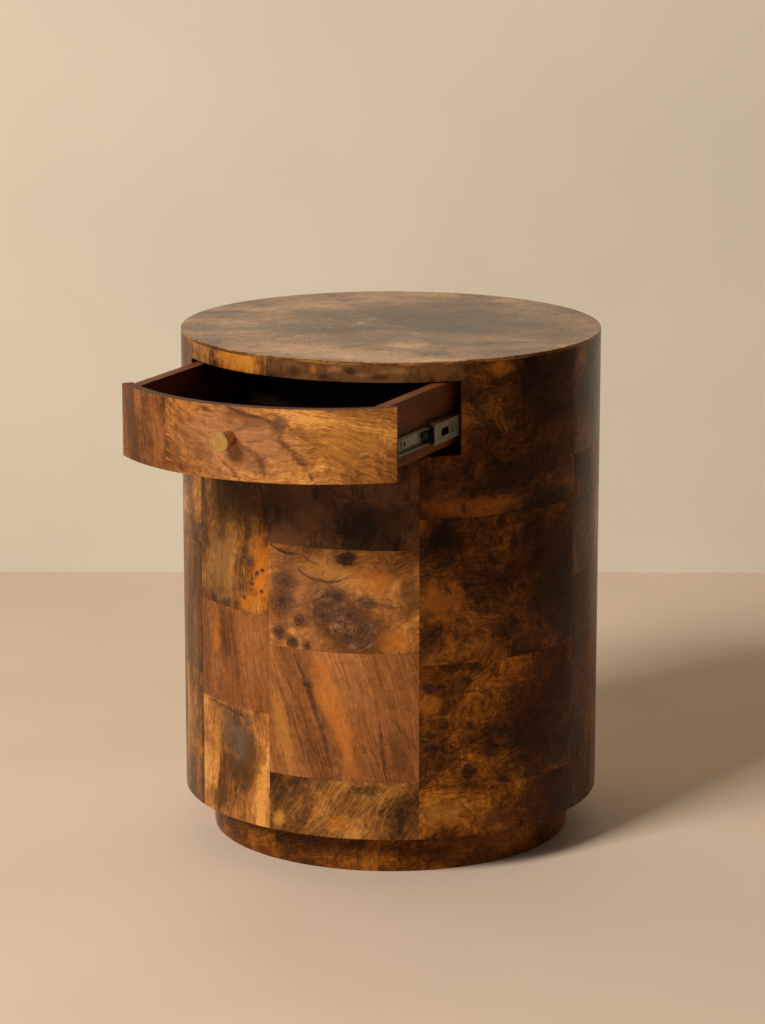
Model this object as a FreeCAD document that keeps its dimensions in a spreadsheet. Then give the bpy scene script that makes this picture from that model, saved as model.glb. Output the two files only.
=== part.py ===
import FreeCAD, Part
import math
import os

import Sketcher
from FreeCAD import Vector

# A round drum side table: a bent shell under a flat top, on a recessed plinth, with one bowed drawer
# on telescopic ball-bearing slides. Millimetres. The origin is on the floor at the drum's axis, +Z is
# up, the drawer opens towards -Y, and it stands open by drawer_open, as it does at rest.

SIZES = {
    # Drum and plinth
    "drum_diameter": 450,
    "overall_height": 550,
    "plinth_height": 45,
    "plinth_diameter": 388,
    "shell_wall": 15,
    "plinth_wall": 15,
    "top_core": 20,
    "bottom_core": 15,
    "deck_core": 12,
    "bay_wall": 15,
    "glue_line": 0.2,
    "block_length": 50,
    "block_depth": 22,
    # Veneer
    "veneer": 1,
    "veneer_glue": 0.05,
    "leaf_joint": 0.15,
    "plinth_veneer_lift": 0.6,
    "top_band_height": 2.4,
    # Drawer opening and drawer box
    "opening_width": 310,
    "opening_height": 77,
    "front_gap": 1.5,
    "front_core": 11,
    "front_end_relief": 6,
    "drawer_open": 150,
    "side_wall": 12,
    "side_height": 66,
    "back_board": 12,
    "bottom_board": 5,
    "bottom_lift": 8,
    "groove_depth": 5,
    "groove_fit": 0.2,
    "bay_clearance": 12,
    # Telescopic slides
    "slide_space": 12.7,
    "slide_length": 200,
    "slide_setback": 3,
    "slide_lift": 22,
    "slide_height": 27,
    "slide_sheet": 0.9,
    "slide_ball": 2.5,
    "race_play": 0.12,
    "row_step": 2.31,
    "outer_row_inset": 4.5,
    "inner_row_inset": 3.6,
    "middle_web_gap": 1.2,
    "middle_shorter": 4,
    "drawer_flange": 6.2,
    "cage_length": 90,
    "cage_width": 3.8,
    "cage_sheet": 0.6,
    "pocket_play": 0.1,
    "rib_radius": 1.6,
    "rib_setback": 4,
    "rib_height": 15,
    "window_length": 18,
    "window_height": 8,
    "slot_length": 2.5,
    "slot_height": 9,
    "spare_hole": 4.5,
    # Release levers in the drawer members
    "lever_length": 56,
    "lever_setback": 66,
    "lever_thickness": 3.4,
    "lever_gap": 0.3,
    "lever_arm": 4.4,
    "lever_tip_length": 8,
    "lever_tip_height": 8,
    "lever_boss": 8.4,
    "pin_diameter": 4,
    "pin_play": 0.1,
    "pin_head": 6,
    "pin_head_depth": 0.8,
    # Wood screws
    "screw_head": 6.4,
    "screw_shank": 3.2,
    "screw_head_depth": 1.6,
    "screw_tip": 2,
    "slide_screw_length": 6.4,
    "back_screw_length": 28,
    "back_screw_pitch": 20,
    "screw_fit": 0.1,
    # Knob
    "knob_diameter": 21,
    "knob_head": 4,
    "knob_neck": 14.5,
    "knob_foot": 15.5,
    "knob_projection": 22,
    "knob_edge": 0.9,
    "knob_rim": 1.8,
    "knob_dish": 0.5,
    "knob_rise": 5,
    "knob_bore_depth": 12,
    "knob_screw_diameter": 4,
    "knob_screw_head": 8.4,
    "knob_screw_head_depth": 2.6,
    "knob_hole_fit": 0.2,
    "knob_thread_fit": 0.05,
}

# Directions round the drum, in degrees from the drawer's middle, positive towards +X
COLUMN_JOINTS_DEG = (-37.6, -9.3, 32.5, 83.5, 132.5, 180.5, 228.5, 276.5)
PLINTH_JOINTS_DEG = (-52, -14, 21, 66, 113, 158, 205, 262)
FRONT_JOINT_DEG = -20.5
TOP_JOINT_DEG = 45
TURN_DEG = 360
# How far each ball race stops short of the plane through the balls' centres, and where its wall turns off
RACE_LIP_DEG = 25
RACE_SHOULDER_DEG = 60
RACE_RETURN_DEG = 35

# Heights of the horizontal veneer joints in each column, as shares of the drum's height
COURSE_SHARES = (
    (0.248, 0.458),
    (0.123, 0.397, 0.614),
    (0.103, 0.371, 0.677),
    (0.190, 0.510, 0.770),
    (0.270, 0.560),
    (0.130, 0.400, 0.690),
    (0.230, 0.480, 0.740),
    (0.290, 0.570),
)
# Places along a slide member, as shares of its length from its front end
CABINET_SCREW_SHARES = (0.15, 0.52, 0.90)
CABINET_SLOT_SHARES = (0.28, 0.70)
DRAWER_SCREW_SHARES = (0.05, 0.24, 0.92)
DRAWER_SLOT_SHARE = 0.085
DRAWER_HOLE_SHARES = (0.125, 0.80)
MIDDLE_WINDOW_SHARES = (0.13, 0.55, 0.86)
MIDDLE_SLOT_SHARE = 0.215
BALL_SHARES = (-0.4, -0.2, 0.0, 0.2, 0.4)

ZERO = "0"
ORIGIN = Vector(0, 0, 0)
ALONG_X = Vector(1, 0, 0)
ALONG_Y = Vector(0, 1, 0)
ALONG_Z = Vector(0, 0, 1)

doc = FreeCAD.newDocument("DrumSideTable")
sheet = doc.addObject("Spreadsheet::Sheet", "Sizes")
for row, (alias, number) in enumerate(SIZES.items(), start=1):
    sheet.set(f"A{row}", alias)
    sheet.set(f"B{row}", str(number))
    sheet.setAlias(f"B{row}", alias)
doc.recompute()

# Radii and levels that several pieces share, as expressions on the sheet
DRUM_RADIUS = "(Sizes.drum_diameter / 2)"
CORE_RADIUS = f"({DRUM_RADIUS} - Sizes.veneer)"
SHELL_BORE = f"({CORE_RADIUS} - Sizes.shell_wall)"
PANEL_RADIUS = f"({SHELL_BORE} - Sizes.glue_line)"
PLINTH_CORE = "(Sizes.plinth_diameter / 2 - Sizes.veneer)"
PLINTH_BORE = f"({PLINTH_CORE} - Sizes.plinth_wall)"
CORE_TOP = "(Sizes.overall_height - Sizes.veneer)"
BAND_LOW = f"({CORE_TOP} - Sizes.top_band_height)"
OPENING_TOP = f"({CORE_TOP} - Sizes.top_core)"
OPENING_FLOOR = f"({OPENING_TOP} - Sizes.opening_height)"
JAMB = "(Sizes.opening_width / 2)"
FRONT_HALF = f"({JAMB} - Sizes.front_gap)"
FRONT_LOW = f"({OPENING_FLOOR} + Sizes.front_gap)"
FRONT_HIGH = f"({OPENING_TOP} - Sizes.front_gap)"
FRONT_HOLLOW = f"({CORE_RADIUS} - Sizes.front_core)"
SIDE_FACE = f"({JAMB} - Sizes.slide_space)"
SIDE_INNER = f"({SIDE_FACE} - Sizes.side_wall)"
SIDE_LOW = f"({FRONT_HIGH} - Sizes.side_height)"
BOTTOM_LOW = f"({SIDE_LOW} + Sizes.bottom_lift)"
BOTTOM_HIGH = f"({BOTTOM_LOW} + Sizes.bottom_board)"
SLIDE_AXIS = f"({SIDE_LOW} + Sizes.slide_lift)"
FRONT_BACK_HALF = f"({FRONT_HALF} - Sizes.front_end_relief)"
SLIDE_FRONT = f"(Sizes.slide_setback - sqrt({FRONT_HOLLOW} ^ 2 - {FRONT_BACK_HALF} ^ 2))"
SLIDE_BACK = f"({SLIDE_FRONT} + Sizes.slide_length)"
BOX_BACK = f"({SLIDE_BACK} + Sizes.slide_setback)"
BACK_FACE = f"({BOX_BACK} - Sizes.back_board)"
BAY_BACK = f"({BOX_BACK} + Sizes.bay_clearance)"
KNOB_LEVEL = f"(({FRONT_LOW} + {FRONT_HIGH}) / 2 + Sizes.knob_rise)"
LEVER_PIVOT = f"({SLIDE_FRONT} + Sizes.lever_setback + Sizes.lever_length / 2)"
DRAWER_SHIFT = "-Sizes.drawer_open"

pieces = {}


def value(expression):
    """The number that an expression gives on the sheet."""
    return float(sheet.evalExpression(expression))


def size(alias):
    """A driving dimension, read from the sheet."""
    return float(sheet.get(alias))


def keep(label, piece):
    """Name a finished sub-part, which also names its file."""
    piece.Label = label
    pieces[label] = piece
    return piece


def place(piece, x=ZERO, y=ZERO, z=ZERO):
    """Bind a piece's place to expressions."""
    piece.setExpression("Placement.Base.x", x)
    piece.setExpression("Placement.Base.y", y)
    piece.setExpression("Placement.Base.z", z)
    return piece


def board(name, x, y, z):
    """A rectangular board between a low and a high expression along each axis."""
    blank = doc.addObject("Part::Box", name)
    blank.setExpression("Length", f"{x[1]} - {x[0]}")
    blank.setExpression("Width", f"{y[1]} - {y[0]}")
    blank.setExpression("Height", f"{z[1]} - {z[0]}")
    return place(blank, x[0], y[0], z[0])


def disc(name, radius, low, high):
    """A round board on the drum's axis."""
    blank = doc.addObject("Part::Cylinder", name)
    blank.setExpression("Radius", radius)
    blank.setExpression("Height", f"{high} - {low}")
    return place(blank, z=low)


def boolean(kind, name, base, tool):
    """A cut or a common of two objects."""
    result = doc.addObject(f"Part::{kind}", name)
    result.Base = base
    result.Tool = tool
    return result


def shaped(name, shape):
    """A plain object that holds a shape made with Part's own functions."""
    holder = doc.addObject("Part::Feature", name)
    holder.Shape = shape
    return holder


def mirrored(name, source):
    """The left-hand twin of a right-hand piece."""
    twin = doc.addObject("Part::Mirroring", name)
    twin.Source = source
    twin.Base = ORIGIN
    twin.Normal = ALONG_X
    return twin


def origin_plane(body, role):
    """One of a body's own origin planes, found by its role."""
    return next(plane for plane in body.Origin.OriginFeatures if plane.Role == role)


def sketch_on(body, name, role, lift=ZERO):
    """An empty sketch on one of the body's planes, raised along the plane's normal."""
    sketch = body.newObject("Sketcher::SketchObject", name)
    sketch.AttachmentSupport = (origin_plane(body, role), [""])
    sketch.MapMode = "FlatFace"
    sketch.setExpression("AttachmentOffset.Base.z", lift)
    return sketch


def dimension(sketch, expression, kind, *references):
    """A sketch dimension bound to an expression."""
    index = sketch.addConstraint(Sketcher.Constraint(kind, *references, value(expression)))
    sketch.setExpression(f"Constraints[{index}]", expression)


def pin(sketch, geometry, point, x, y):
    """Fix a sketch point by its distances from the sketch's axes."""
    for kind, expression, axis in (("DistanceX", x, -2), ("DistanceY", y, -1)):
        if expression == ZERO:
            sketch.addConstraint(Sketcher.Constraint("PointOnObject", geometry, point, axis))
        else:
            dimension(sketch, expression, kind, -1, 1, geometry, point)


def circle(sketch, radius, x=ZERO, y=ZERO):
    """A circle of a bound radius about a bound centre."""
    centre = Vector(value(x), value(y), 0)
    index = sketch.addGeometry(Part.Circle(centre, ALONG_Z, value(radius)))
    pin(sketch, index, 3, x, y)
    dimension(sketch, radius, "Radius", index)


def polygon(sketch, points):
    """A closed outline of straight lines through points given as pairs of expressions."""
    corners = [Vector(value(x), value(y), 0) for x, y in points]
    count = len(corners)
    lines = []
    for index in range(count):
        segment = Part.LineSegment(corners[index], corners[(index + 1) % count])
        lines.append(sketch.addGeometry(segment))
    for index in range(count):
        follower = lines[(index + 1) % count]
        sketch.addConstraint(Sketcher.Constraint("Coincident", lines[index], 2, follower, 1))
    for line, (x, y) in zip(lines, points):
        pin(sketch, line, 1, x, y)


def new_body(name):
    """An empty PartDesign body."""
    return doc.addObject("PartDesign::Body", name)


def pad(body, name, sketch, length, reverse=False):
    """Material pushed out of a sketch by a bound length."""
    feature = body.newObject("PartDesign::Pad", name)
    feature.Profile = sketch
    feature.setExpression("Length", length)
    feature.Reversed = reverse
    return feature


def pocket(body, name, sketch, length, reverse=False):
    """A cut from a sketch by a bound length, checked to have taken material away."""
    doc.recompute()
    before = body.Shape.Volume
    feature = body.newObject("PartDesign::Pocket", name)
    feature.Profile = sketch
    feature.setExpression("Length", length)
    feature.Reversed = reverse
    doc.recompute()
    if body.Shape.Volume >= before:
        raise RuntimeError(f"{name} cuts nothing")
    return feature


def revolve(body, name, sketch):
    """A sketch turned right round its own vertical axis."""
    feature = body.newObject("PartDesign::Revolution", name)
    feature.Profile = sketch
    feature.ReferenceAxis = (sketch, ["V_Axis"])
    feature.Angle = TURN_DEG
    return feature


# Cabinet


def drum_shell():
    """The bent shell, notched from its top edge for the drawer."""
    body = new_body("DrumShell")
    ring = sketch_on(body, "ShellRing", "XY_Plane", "Sizes.plinth_height")
    circle(ring, CORE_RADIUS)
    circle(ring, SHELL_BORE)
    pad(body, "ShellPad", ring, f"{OPENING_TOP} - Sizes.plinth_height")
    notch = sketch_on(body, "ShellNotchOutline", "XZ_Plane")
    polygon(notch, opening_outline())
    pocket(body, "ShellNotch", notch, DRUM_RADIUS, reverse=True)
    return keep("drum_shell", body)


def opening_outline():
    """The drawer opening seen from the front, carried up past the shell's top edge."""
    above = f"({OPENING_TOP} + Sizes.top_core)"
    return [
        (f"-{JAMB}", OPENING_FLOOR),
        (JAMB, OPENING_FLOOR),
        (JAMB, above),
        (f"-{JAMB}", above),
    ]


def plinth_ring():
    """The recessed ring that the drum stands on."""
    body = new_body("PlinthRing")
    ring = sketch_on(body, "PlinthOutline", "XY_Plane")
    circle(ring, PLINTH_CORE)
    circle(ring, PLINTH_BORE)
    pad(body, "PlinthPad", ring, "Sizes.plinth_height")
    return keep("plinth_ring", body)


def plinth_blocks():
    """Four glue blocks in the corner between the plinth ring and the drum's bottom."""
    depth = size("block_depth")
    length = size("block_length")
    height = size("plinth_height") - 2 * size("plinth_veneer_lift")
    outer = value(PLINTH_BORE) - size("glue_line")
    corner = Vector(-length / 2, -outer, size("plinth_height") - height)
    blank = Part.makeBox(length, depth, height, corner)
    fitted = blank.common(Part.makeCylinder(outer, size("overall_height")))
    blocks = []
    for quarter in range(4):
        block = fitted.copy()
        block.rotate(ORIGIN, ALONG_Z, quarter * TURN_DEG / 4)
        blocks.append(block)
    return keep("plinth_blocks", shaped("PlinthBlocks", Part.makeCompound(blocks)))


def slide_panels():
    """The two upright boards that carry the slides, coped to the inside of the shell."""
    levels = (f"({OPENING_FLOOR} + Sizes.glue_line)", f"({OPENING_TOP} - Sizes.glue_line)")
    blank = board(
        "SlidePanelBlank",
        (JAMB, f"({JAMB} + Sizes.bay_wall)"),
        (f"-{DRUM_RADIUS}", f"({BAY_BACK} + Sizes.bay_wall)"),
        levels,
    )
    limit = disc("SlidePanelLimit", PANEL_RADIUS, ZERO, "Sizes.overall_height")
    coped = boolean("Common", "SlidePanelCoped", blank, limit)
    holes = shaped("SlidePanelHoles", Part.makeCompound(cabinet_screws(size("screw_fit"))))
    right = boolean("Cut", "SlidePanel", coped, holes)
    keep("slide_panel_right", right)
    keep("slide_panel_left", mirrored("SlidePanelLeft", right))


def bay_back():
    """The board that closes the drawer's bay at the back."""
    edge = f"({JAMB} - Sizes.glue_line)"
    blank = board(
        "BayBackBlank",
        (f"-{edge}", edge),
        (BAY_BACK, f"({BAY_BACK} + Sizes.bay_wall)"),
        (f"({OPENING_FLOOR} + Sizes.glue_line)", f"({OPENING_TOP} - Sizes.glue_line)"),
    )
    limit = disc("BayBackLimit", PANEL_RADIUS, ZERO, "Sizes.overall_height")
    return keep("bay_back", boolean("Common", "BayBack", blank, limit))


def cabinet():
    """Every board of the drum and its plinth."""
    drum_shell()
    keep("top_panel", disc("TopPanel", CORE_RADIUS, OPENING_TOP, CORE_TOP))
    floor_top = "(Sizes.plinth_height + Sizes.bottom_core)"
    keep("bottom_panel", disc("BottomPanel", PANEL_RADIUS, "Sizes.plinth_height", floor_top))
    deck_low = f"({OPENING_FLOOR} - Sizes.deck_core)"
    keep("drawer_deck", disc("DrawerDeck", PANEL_RADIUS, deck_low, OPENING_FLOOR))
    slide_panels()
    bay_back()
    plinth_ring()
    plinth_blocks()


# Veneer


def leaf(inner, outer, start_deg, end_deg, low, high):
    """One curved leaf of veneer, drawn back from its neighbours by half a joint on each side."""
    trim = math.degrees(size("leaf_joint") / 2 / outer)
    start = math.radians(start_deg + trim)
    end = math.radians(end_deg - trim)
    middle = (start + end) / 2

    def at(radius, angle):
        return Vector(radius * math.sin(angle), -radius * math.cos(angle), low)

    edges = [
        Part.Arc(at(outer, start), at(outer, middle), at(outer, end)).toShape(),
        Part.makeLine(at(outer, end), at(inner, end)),
        Part.Arc(at(inner, end), at(inner, middle), at(inner, start)).toShape(),
        Part.makeLine(at(inner, start), at(outer, start)),
    ]
    return Part.Face(Part.Wire(edges)).extrude(Vector(0, 0, high - low))


def spans(joints_deg):
    """Each pair of neighbouring joints round the whole turn."""
    return zip(joints_deg, joints_deg[1:] + (joints_deg[0] + TURN_DEG,))


def side_veneer():
    """Eight columns of leaves round the drum, cut out at the drawer opening."""
    inner = value(CORE_RADIUS) + size("veneer_glue")
    outer = value(DRUM_RADIUS)
    half_joint = size("leaf_joint") / 2
    low = size("plinth_height")
    high = value(BAND_LOW) - half_joint
    opening = Part.makeBox(
        size("opening_width"),
        outer,
        size("opening_height"),
        Vector(-value(JAMB), -outer, value(OPENING_FLOOR)),
    )
    columns = zip(spans(COLUMN_JOINTS_DEG), COURSE_SHARES)
    for number, ((start, end), shares) in enumerate(columns, start=1):
        joints = [low + share * (value(CORE_TOP) - low) for share in shares]
        floors = [low] + [joint + half_joint for joint in joints]
        ceilings = [joint - half_joint for joint in joints] + [high]
        leaves = []
        for floor, ceiling in zip(floors, ceilings):
            whole = leaf(inner, outer, start, end, floor, ceiling)
            leaves.extend(whole.cut(opening).Solids)
        keep(f"veneer_column_{number}", shaped(f"VeneerColumn{number}", Part.makeCompound(leaves)))


def top_band():
    """A thin edge band round the top panel, above the ends of the columns."""
    body = new_body("TopBand")
    ring = sketch_on(body, "BandRing", "XY_Plane", BAND_LOW)
    circle(ring, DRUM_RADIUS)
    circle(ring, f"({CORE_RADIUS} + Sizes.veneer_glue)")
    pad(body, "BandPad", ring, "Sizes.top_band_height - Sizes.leaf_joint / 2")
    return keep("top_band", body)


def top_veneer():
    """Four matched leaves over the top panel, parted by a cross of fine joints."""
    radius = value(DRUM_RADIUS)
    thickness = size("veneer") - size("veneer_glue")
    joint = size("leaf_joint")
    low = value(CORE_TOP) + size("veneer_glue")
    sheet_disc = Part.makeCylinder(radius, thickness, Vector(0, 0, low))
    along = Part.makeBox(2 * radius, joint, thickness, Vector(-radius, -joint / 2, low))
    across = Part.makeBox(joint, 2 * radius, thickness, Vector(-joint / 2, -radius, low))
    for joint_bar in (along, across):
        joint_bar.rotate(ORIGIN, ALONG_Z, TOP_JOINT_DEG)
    leaves = sheet_disc.cut([along, across])
    return keep("top_veneer", shaped("TopVeneer", Part.makeCompound(leaves.Solids)))


def plinth_veneer():
    """A ring of leaves round the plinth, held just clear of the floor."""
    inner = value(PLINTH_CORE) + size("veneer_glue")
    outer = size("plinth_diameter") / 2
    low = size("plinth_veneer_lift")
    high = size("plinth_height") - size("leaf_joint")
    leaves = [leaf(inner, outer, start, end, low, high) for start, end in spans(PLINTH_JOINTS_DEG)]
    return keep("plinth_veneer", shaped("PlinthVeneer", Part.makeCompound(leaves)))


def front_veneer():
    """Two leaves on the drawer front, trimmed flush with its ends and bored for the knob."""
    inner = value(CORE_RADIUS) + size("veneer_glue")
    outer = value(DRUM_RADIUS)
    half = value(FRONT_HALF)
    low = value(FRONT_LOW)
    high = value(FRONT_HIGH)
    reach_deg = math.degrees(math.asin(value(JAMB) / inner))
    trimmer = Part.makeBox(2 * half, outer, high - low, Vector(-half, -outer, low))
    hole = Part.makeCylinder(
        knob_hole_radius(), outer, Vector(0, 0, value(KNOB_LEVEL)), -ALONG_Y
    )
    leaves = []
    for start, end in ((-reach_deg, FRONT_JOINT_DEG), (FRONT_JOINT_DEG, reach_deg)):
        blank = leaf(inner, outer, start, end, low, high)
        leaves.extend(blank.common(trimmer).cut(hole).Solids)
    veneer = shaped("FrontVeneer", Part.makeCompound(leaves))
    place(veneer, y=DRAWER_SHIFT)
    return keep("drawer_front_veneer", veneer)


# Screws


def wood_screw(length, fit=0.0):
    """A countersunk screw that points down from a flat head at the origin."""
    head = size("screw_head") / 2 + fit
    shank = size("screw_shank") / 2 + fit
    neck = -size("screw_head_depth") - fit
    tip = -length - fit
    outline = [
        ORIGIN,
        Vector(head, 0, 0),
        Vector(shank, 0, neck),
        Vector(shank, 0, tip + size("screw_tip")),
        Vector(0, 0, tip),
        ORIGIN,
    ]
    return Part.Face(Part.makePolygon(outline)).revolve(ORIGIN, ALONG_Z, TURN_DEG)


def aimed(shape, direction, at):
    """A shape that points down, turned to point along a direction and moved to its place."""
    turned = shape.copy()
    turned.Placement = FreeCAD.Placement(at, FreeCAD.Rotation(-ALONG_Z, direction))
    return turned


def along_slide(share):
    """A place along a closed slide, as a share of its length."""
    return value(SLIDE_FRONT) + share * size("slide_length")


def cabinet_screws(fit=0.0):
    """The screws that hold the right cabinet member to its panel."""
    face = value(JAMB) - size("slide_sheet")
    screw = wood_screw(size("slide_screw_length"), fit)
    places = [Vector(face, along_slide(share), value(SLIDE_AXIS)) for share in CABINET_SCREW_SHARES]
    return [aimed(screw, ALONG_X, at) for at in places]


def drawer_screws(fit=0.0):
    """The screws that hold the right drawer member to the drawer's side, with the drawer closed."""
    face = value(SIDE_FACE) + size("slide_sheet")
    screw = wood_screw(size("slide_screw_length"), fit)
    places = [Vector(face, along_slide(share), value(SLIDE_AXIS)) for share in DRAWER_SCREW_SHARES]
    return [aimed(screw, -ALONG_X, at) for at in places]


def back_screws(fit=0.0):
    """The screws that hold the right side to the drawer's back, with the drawer closed."""
    screw = wood_screw(size("back_screw_length"), fit)
    level = (value(BOTTOM_HIGH) + value(FRONT_HIGH)) / 2
    y = (value(BACK_FACE) + value(BOX_BACK)) / 2
    half = size("back_screw_pitch") / 2
    places = [Vector(value(SIDE_FACE), y, level + step) for step in (-half, half)]
    return [aimed(screw, -ALONG_X, at) for at in places]


def both_sides(shapes):
    """Right-hand shapes together with their left-hand twins."""
    return shapes + [shape.mirror(ORIGIN, ALONG_X) for shape in shapes]


def screw_groups():
    """Each set of like screws as one group of separate solids."""
    fixed = shaped("CabinetSlideScrews", Part.makeCompound(both_sides(cabinet_screws())))
    keep("cabinet_slide_screws", fixed)
    riding = shaped("DrawerSlideScrews", Part.makeCompound(both_sides(drawer_screws())))
    keep("drawer_slide_screws", place(riding, y=DRAWER_SHIFT))
    joining = shaped("DrawerBackScrews", Part.makeCompound(both_sides(back_screws())))
    keep("drawer_back_screws", place(joining, y=DRAWER_SHIFT))


# Telescopic slides


def polar(centre, radius, degrees):
    """A point of the slide's section, at an angle round a centre."""
    angle = math.radians(degrees)
    return centre + Vector(radius * math.cos(angle), 0, radius * math.sin(angle))


def trace(runs):
    """Edges through points and arcs in turn; an arc is a centre, a radius and two angles."""
    edges = []
    last = None
    for run in runs:
        arc = isinstance(run, tuple)
        first = polar(run[0], run[1], run[2]) if arc else run
        if last is not None:
            edges.append(Part.makeLine(last, first))
        last = first
        if arc:
            centre, radius, start, end = run
            middle = polar(centre, radius, (start + end) / 2)
            last = polar(centre, radius, end)
            edges.append(Part.Arc(first, middle, last).toShape())
    return edges


def channel(upper_runs, length):
    """A rolled sheet channel whose lower half mirrors its upper half, with its front end at Y zero."""
    upper = trace(upper_runs)
    lower = [edge.mirror(ORIGIN, ALONG_Z) for edge in upper]
    wire = Part.Wire(Part.sortEdges(upper + lower)[0])
    return Part.Face(wire).extrude(Vector(0, length, 0))


def race_radius():
    return size("slide_ball") / 2 + size("race_play")


def outer_row():
    """The centre of the upper row of balls between the cabinet and middle members."""
    height = size("slide_height") / 2 - size("slide_sheet") - race_radius()
    return Vector(size("slide_space") - size("outer_row_inset"), 0, height)


def inner_row():
    """The centre of the upper row of balls between the middle and drawer members."""
    return Vector(size("inner_row_inset"), 0, outer_row().z - size("row_step"))


def middle_web():
    """The outer face of the middle member's web, across the slide from the drawer's side."""
    return size("slide_space") - size("slide_sheet") - size("middle_web_gap")


def drawer_member_level():
    """Half the height of the drawer member."""
    return inner_row().z - race_radius() * math.sin(math.radians(RACE_LIP_DEG))


def web_cut(x, y, length, height):
    """A rectangular tool through a member's web, centred at a place along it."""
    through = 4 * size("slide_sheet")
    corner = Vector(x - through / 2, y - length / 2, -height / 2)
    return Part.makeBox(through, length, height, corner)


def web_hole(x, y):
    """A round tool through a member's web."""
    through = 4 * size("slide_sheet")
    return Part.makeCylinder(size("spare_hole") / 2, through, Vector(x - through / 2, y, 0), ALONG_X)


def cabinet_member():
    """The outer member, whose curled lips hold the outer balls from above and below."""
    race = race_radius()
    wall = race + size("slide_sheet")
    row = outer_row()
    back = size("slide_space")
    web = back - size("slide_sheet")
    lip = 180 - RACE_LIP_DEG
    runs = [
        Vector(back, 0, 0),
        Vector(back, 0, row.z + race),
        (row, wall, RACE_SHOULDER_DEG, lip),
        (row, race, lip, RACE_LIP_DEG),
        Vector(web, 0, polar(row, race, RACE_LIP_DEG).z),
        Vector(web, 0, 0),
    ]
    member = channel(runs, size("slide_length"))
    slots = [
        web_cut(web, share * size("slide_length"), size("slot_height"), size("slot_length"))
        for share in CABINET_SLOT_SHARES
    ]
    return member.cut(slots)


def middle_member():
    """The middle member, with a race inside its flanges for one row and outside for the other."""
    race = race_radius()
    wall = race + size("slide_sheet")
    outer = outer_row()
    inner = inner_row()
    face = middle_web()
    web = face - size("slide_sheet")
    lip = 180 - RACE_LIP_DEG
    shoulder = polar(outer, race, -RACE_LIP_DEG).z
    turn = -RACE_SHOULDER_DEG
    runs = [
        Vector(face, 0, 0),
        Vector(face, 0, shoulder),
        (outer, race, -RACE_LIP_DEG, -lip),
        (inner, wall, RACE_SHOULDER_DEG, lip),
        (inner, race, lip, RACE_RETURN_DEG),
        (outer, wall, RACE_RETURN_DEG - 180, turn),
        Vector(web, 0, polar(outer, wall, turn).z),
        Vector(web, 0, 0),
    ]
    length = size("slide_length") - size("middle_shorter")
    member = channel(runs, length)
    cuts = [
        web_cut(face, share * length, size("window_length"), size("window_height"))
        for share in MIDDLE_WINDOW_SHARES
    ]
    cuts.append(web_cut(face, MIDDLE_SLOT_SHARE * length, size("slot_length"), size("slot_height")))
    rib_foot = Vector(face - size("slide_sheet"), size("rib_setback"), -size("rib_height") / 2)
    rib = Part.makeCylinder(size("rib_radius"), size("rib_height"), rib_foot)
    inside = Part.makeBox(face - size("slide_sheet"), length, size("slide_height"))
    inside.translate(Vector(0, 0, -size("slide_height") / 2))
    return member.cut(cuts).fuse(rib.cut(inside)).removeSplitter()


def drawer_member():
    """The inner member, grooved outside its flanges, with a bent tab across its front end."""
    race = race_radius()
    wall = race + size("slide_sheet")
    row = inner_row()
    level = drawer_member_level()
    under = level - size("slide_sheet")
    flange = size("drawer_flange")
    lip = 180 - RACE_LIP_DEG
    turn_deg = math.degrees(math.asin((row.z - under) / wall))
    runs = [
        ORIGIN,
        Vector(0, 0, level),
        (row, race, -lip, -RACE_LIP_DEG),
        Vector(flange, 0, level),
        Vector(flange, 0, under),
        (row, wall, -turn_deg, turn_deg - 180),
        Vector(size("slide_sheet"), 0, under),
        Vector(size("slide_sheet"), 0, 0),
    ]
    length = size("slide_length")
    member = channel(runs, length)
    web = size("slide_sheet")
    cuts = [web_cut(web, DRAWER_SLOT_SHARE * length, size("slot_length"), size("slot_height"))]
    cuts += [web_hole(web, share * length) for share in DRAWER_HOLE_SHARES]
    tab_height = 2 * (row.z - wall)
    tab = Part.makeBox(flange, size("slide_sheet"), tab_height, Vector(0, 0, -tab_height / 2))
    return member.cut(cuts).fuse(tab).removeSplitter()


def ball_row_places(row):
    """The centres of a cage's balls, above and below the slide's axis."""
    return [
        Vector(row.x, share * size("cage_length"), side * row.z)
        for side in (1, -1)
        for share in BALL_SHARES
    ]


def ball_cage(row):
    """Two strips that hold a slide's upper and lower balls in pockets."""
    width = size("cage_width")
    length = size("cage_length")
    thickness = size("cage_sheet")
    pocket_radius = size("slide_ball") / 2 + size("pocket_play")
    pockets = [
        Part.makeCylinder(pocket_radius, 2 * thickness, at - ALONG_Z * thickness)
        for at in ball_row_places(row)
    ]
    strips = []
    for side in (1, -1):
        corner = Vector(row.x - width / 2, -length / 2, side * row.z - thickness / 2)
        strips.extend(Part.makeBox(width, length, thickness, corner).cut(pockets).Solids)
    return Part.makeCompound(strips)


def balls(row):
    """The balls of one cage."""
    return Part.makeCompound([Part.makeSphere(size("slide_ball") / 2, at) for at in ball_row_places(row)])


def slide_piece(label, name, shape, start, travel_share):
    """A slide piece on the right, moved out with the drawer by its share, and its left twin."""
    right = shaped(name, shape)
    place(right, SIDE_FACE, f"{start} - {travel_share} * Sizes.drawer_open", SLIDE_AXIS)
    keep(f"{label}_right", right)
    keep(f"{label}_left", mirrored(f"{name}Left", right))


def screwed_member(shape, screws, start):
    """A member bored for its screws, which stand where the closed slide has them."""
    home = Vector(value(SIDE_FACE), value(start), value(SLIDE_AXIS))
    tools = []
    for screw in screws:
        tool = screw.copy()
        tool.translate(-home)
        tools.append(tool)
    return shape.cut(tools)


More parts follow.
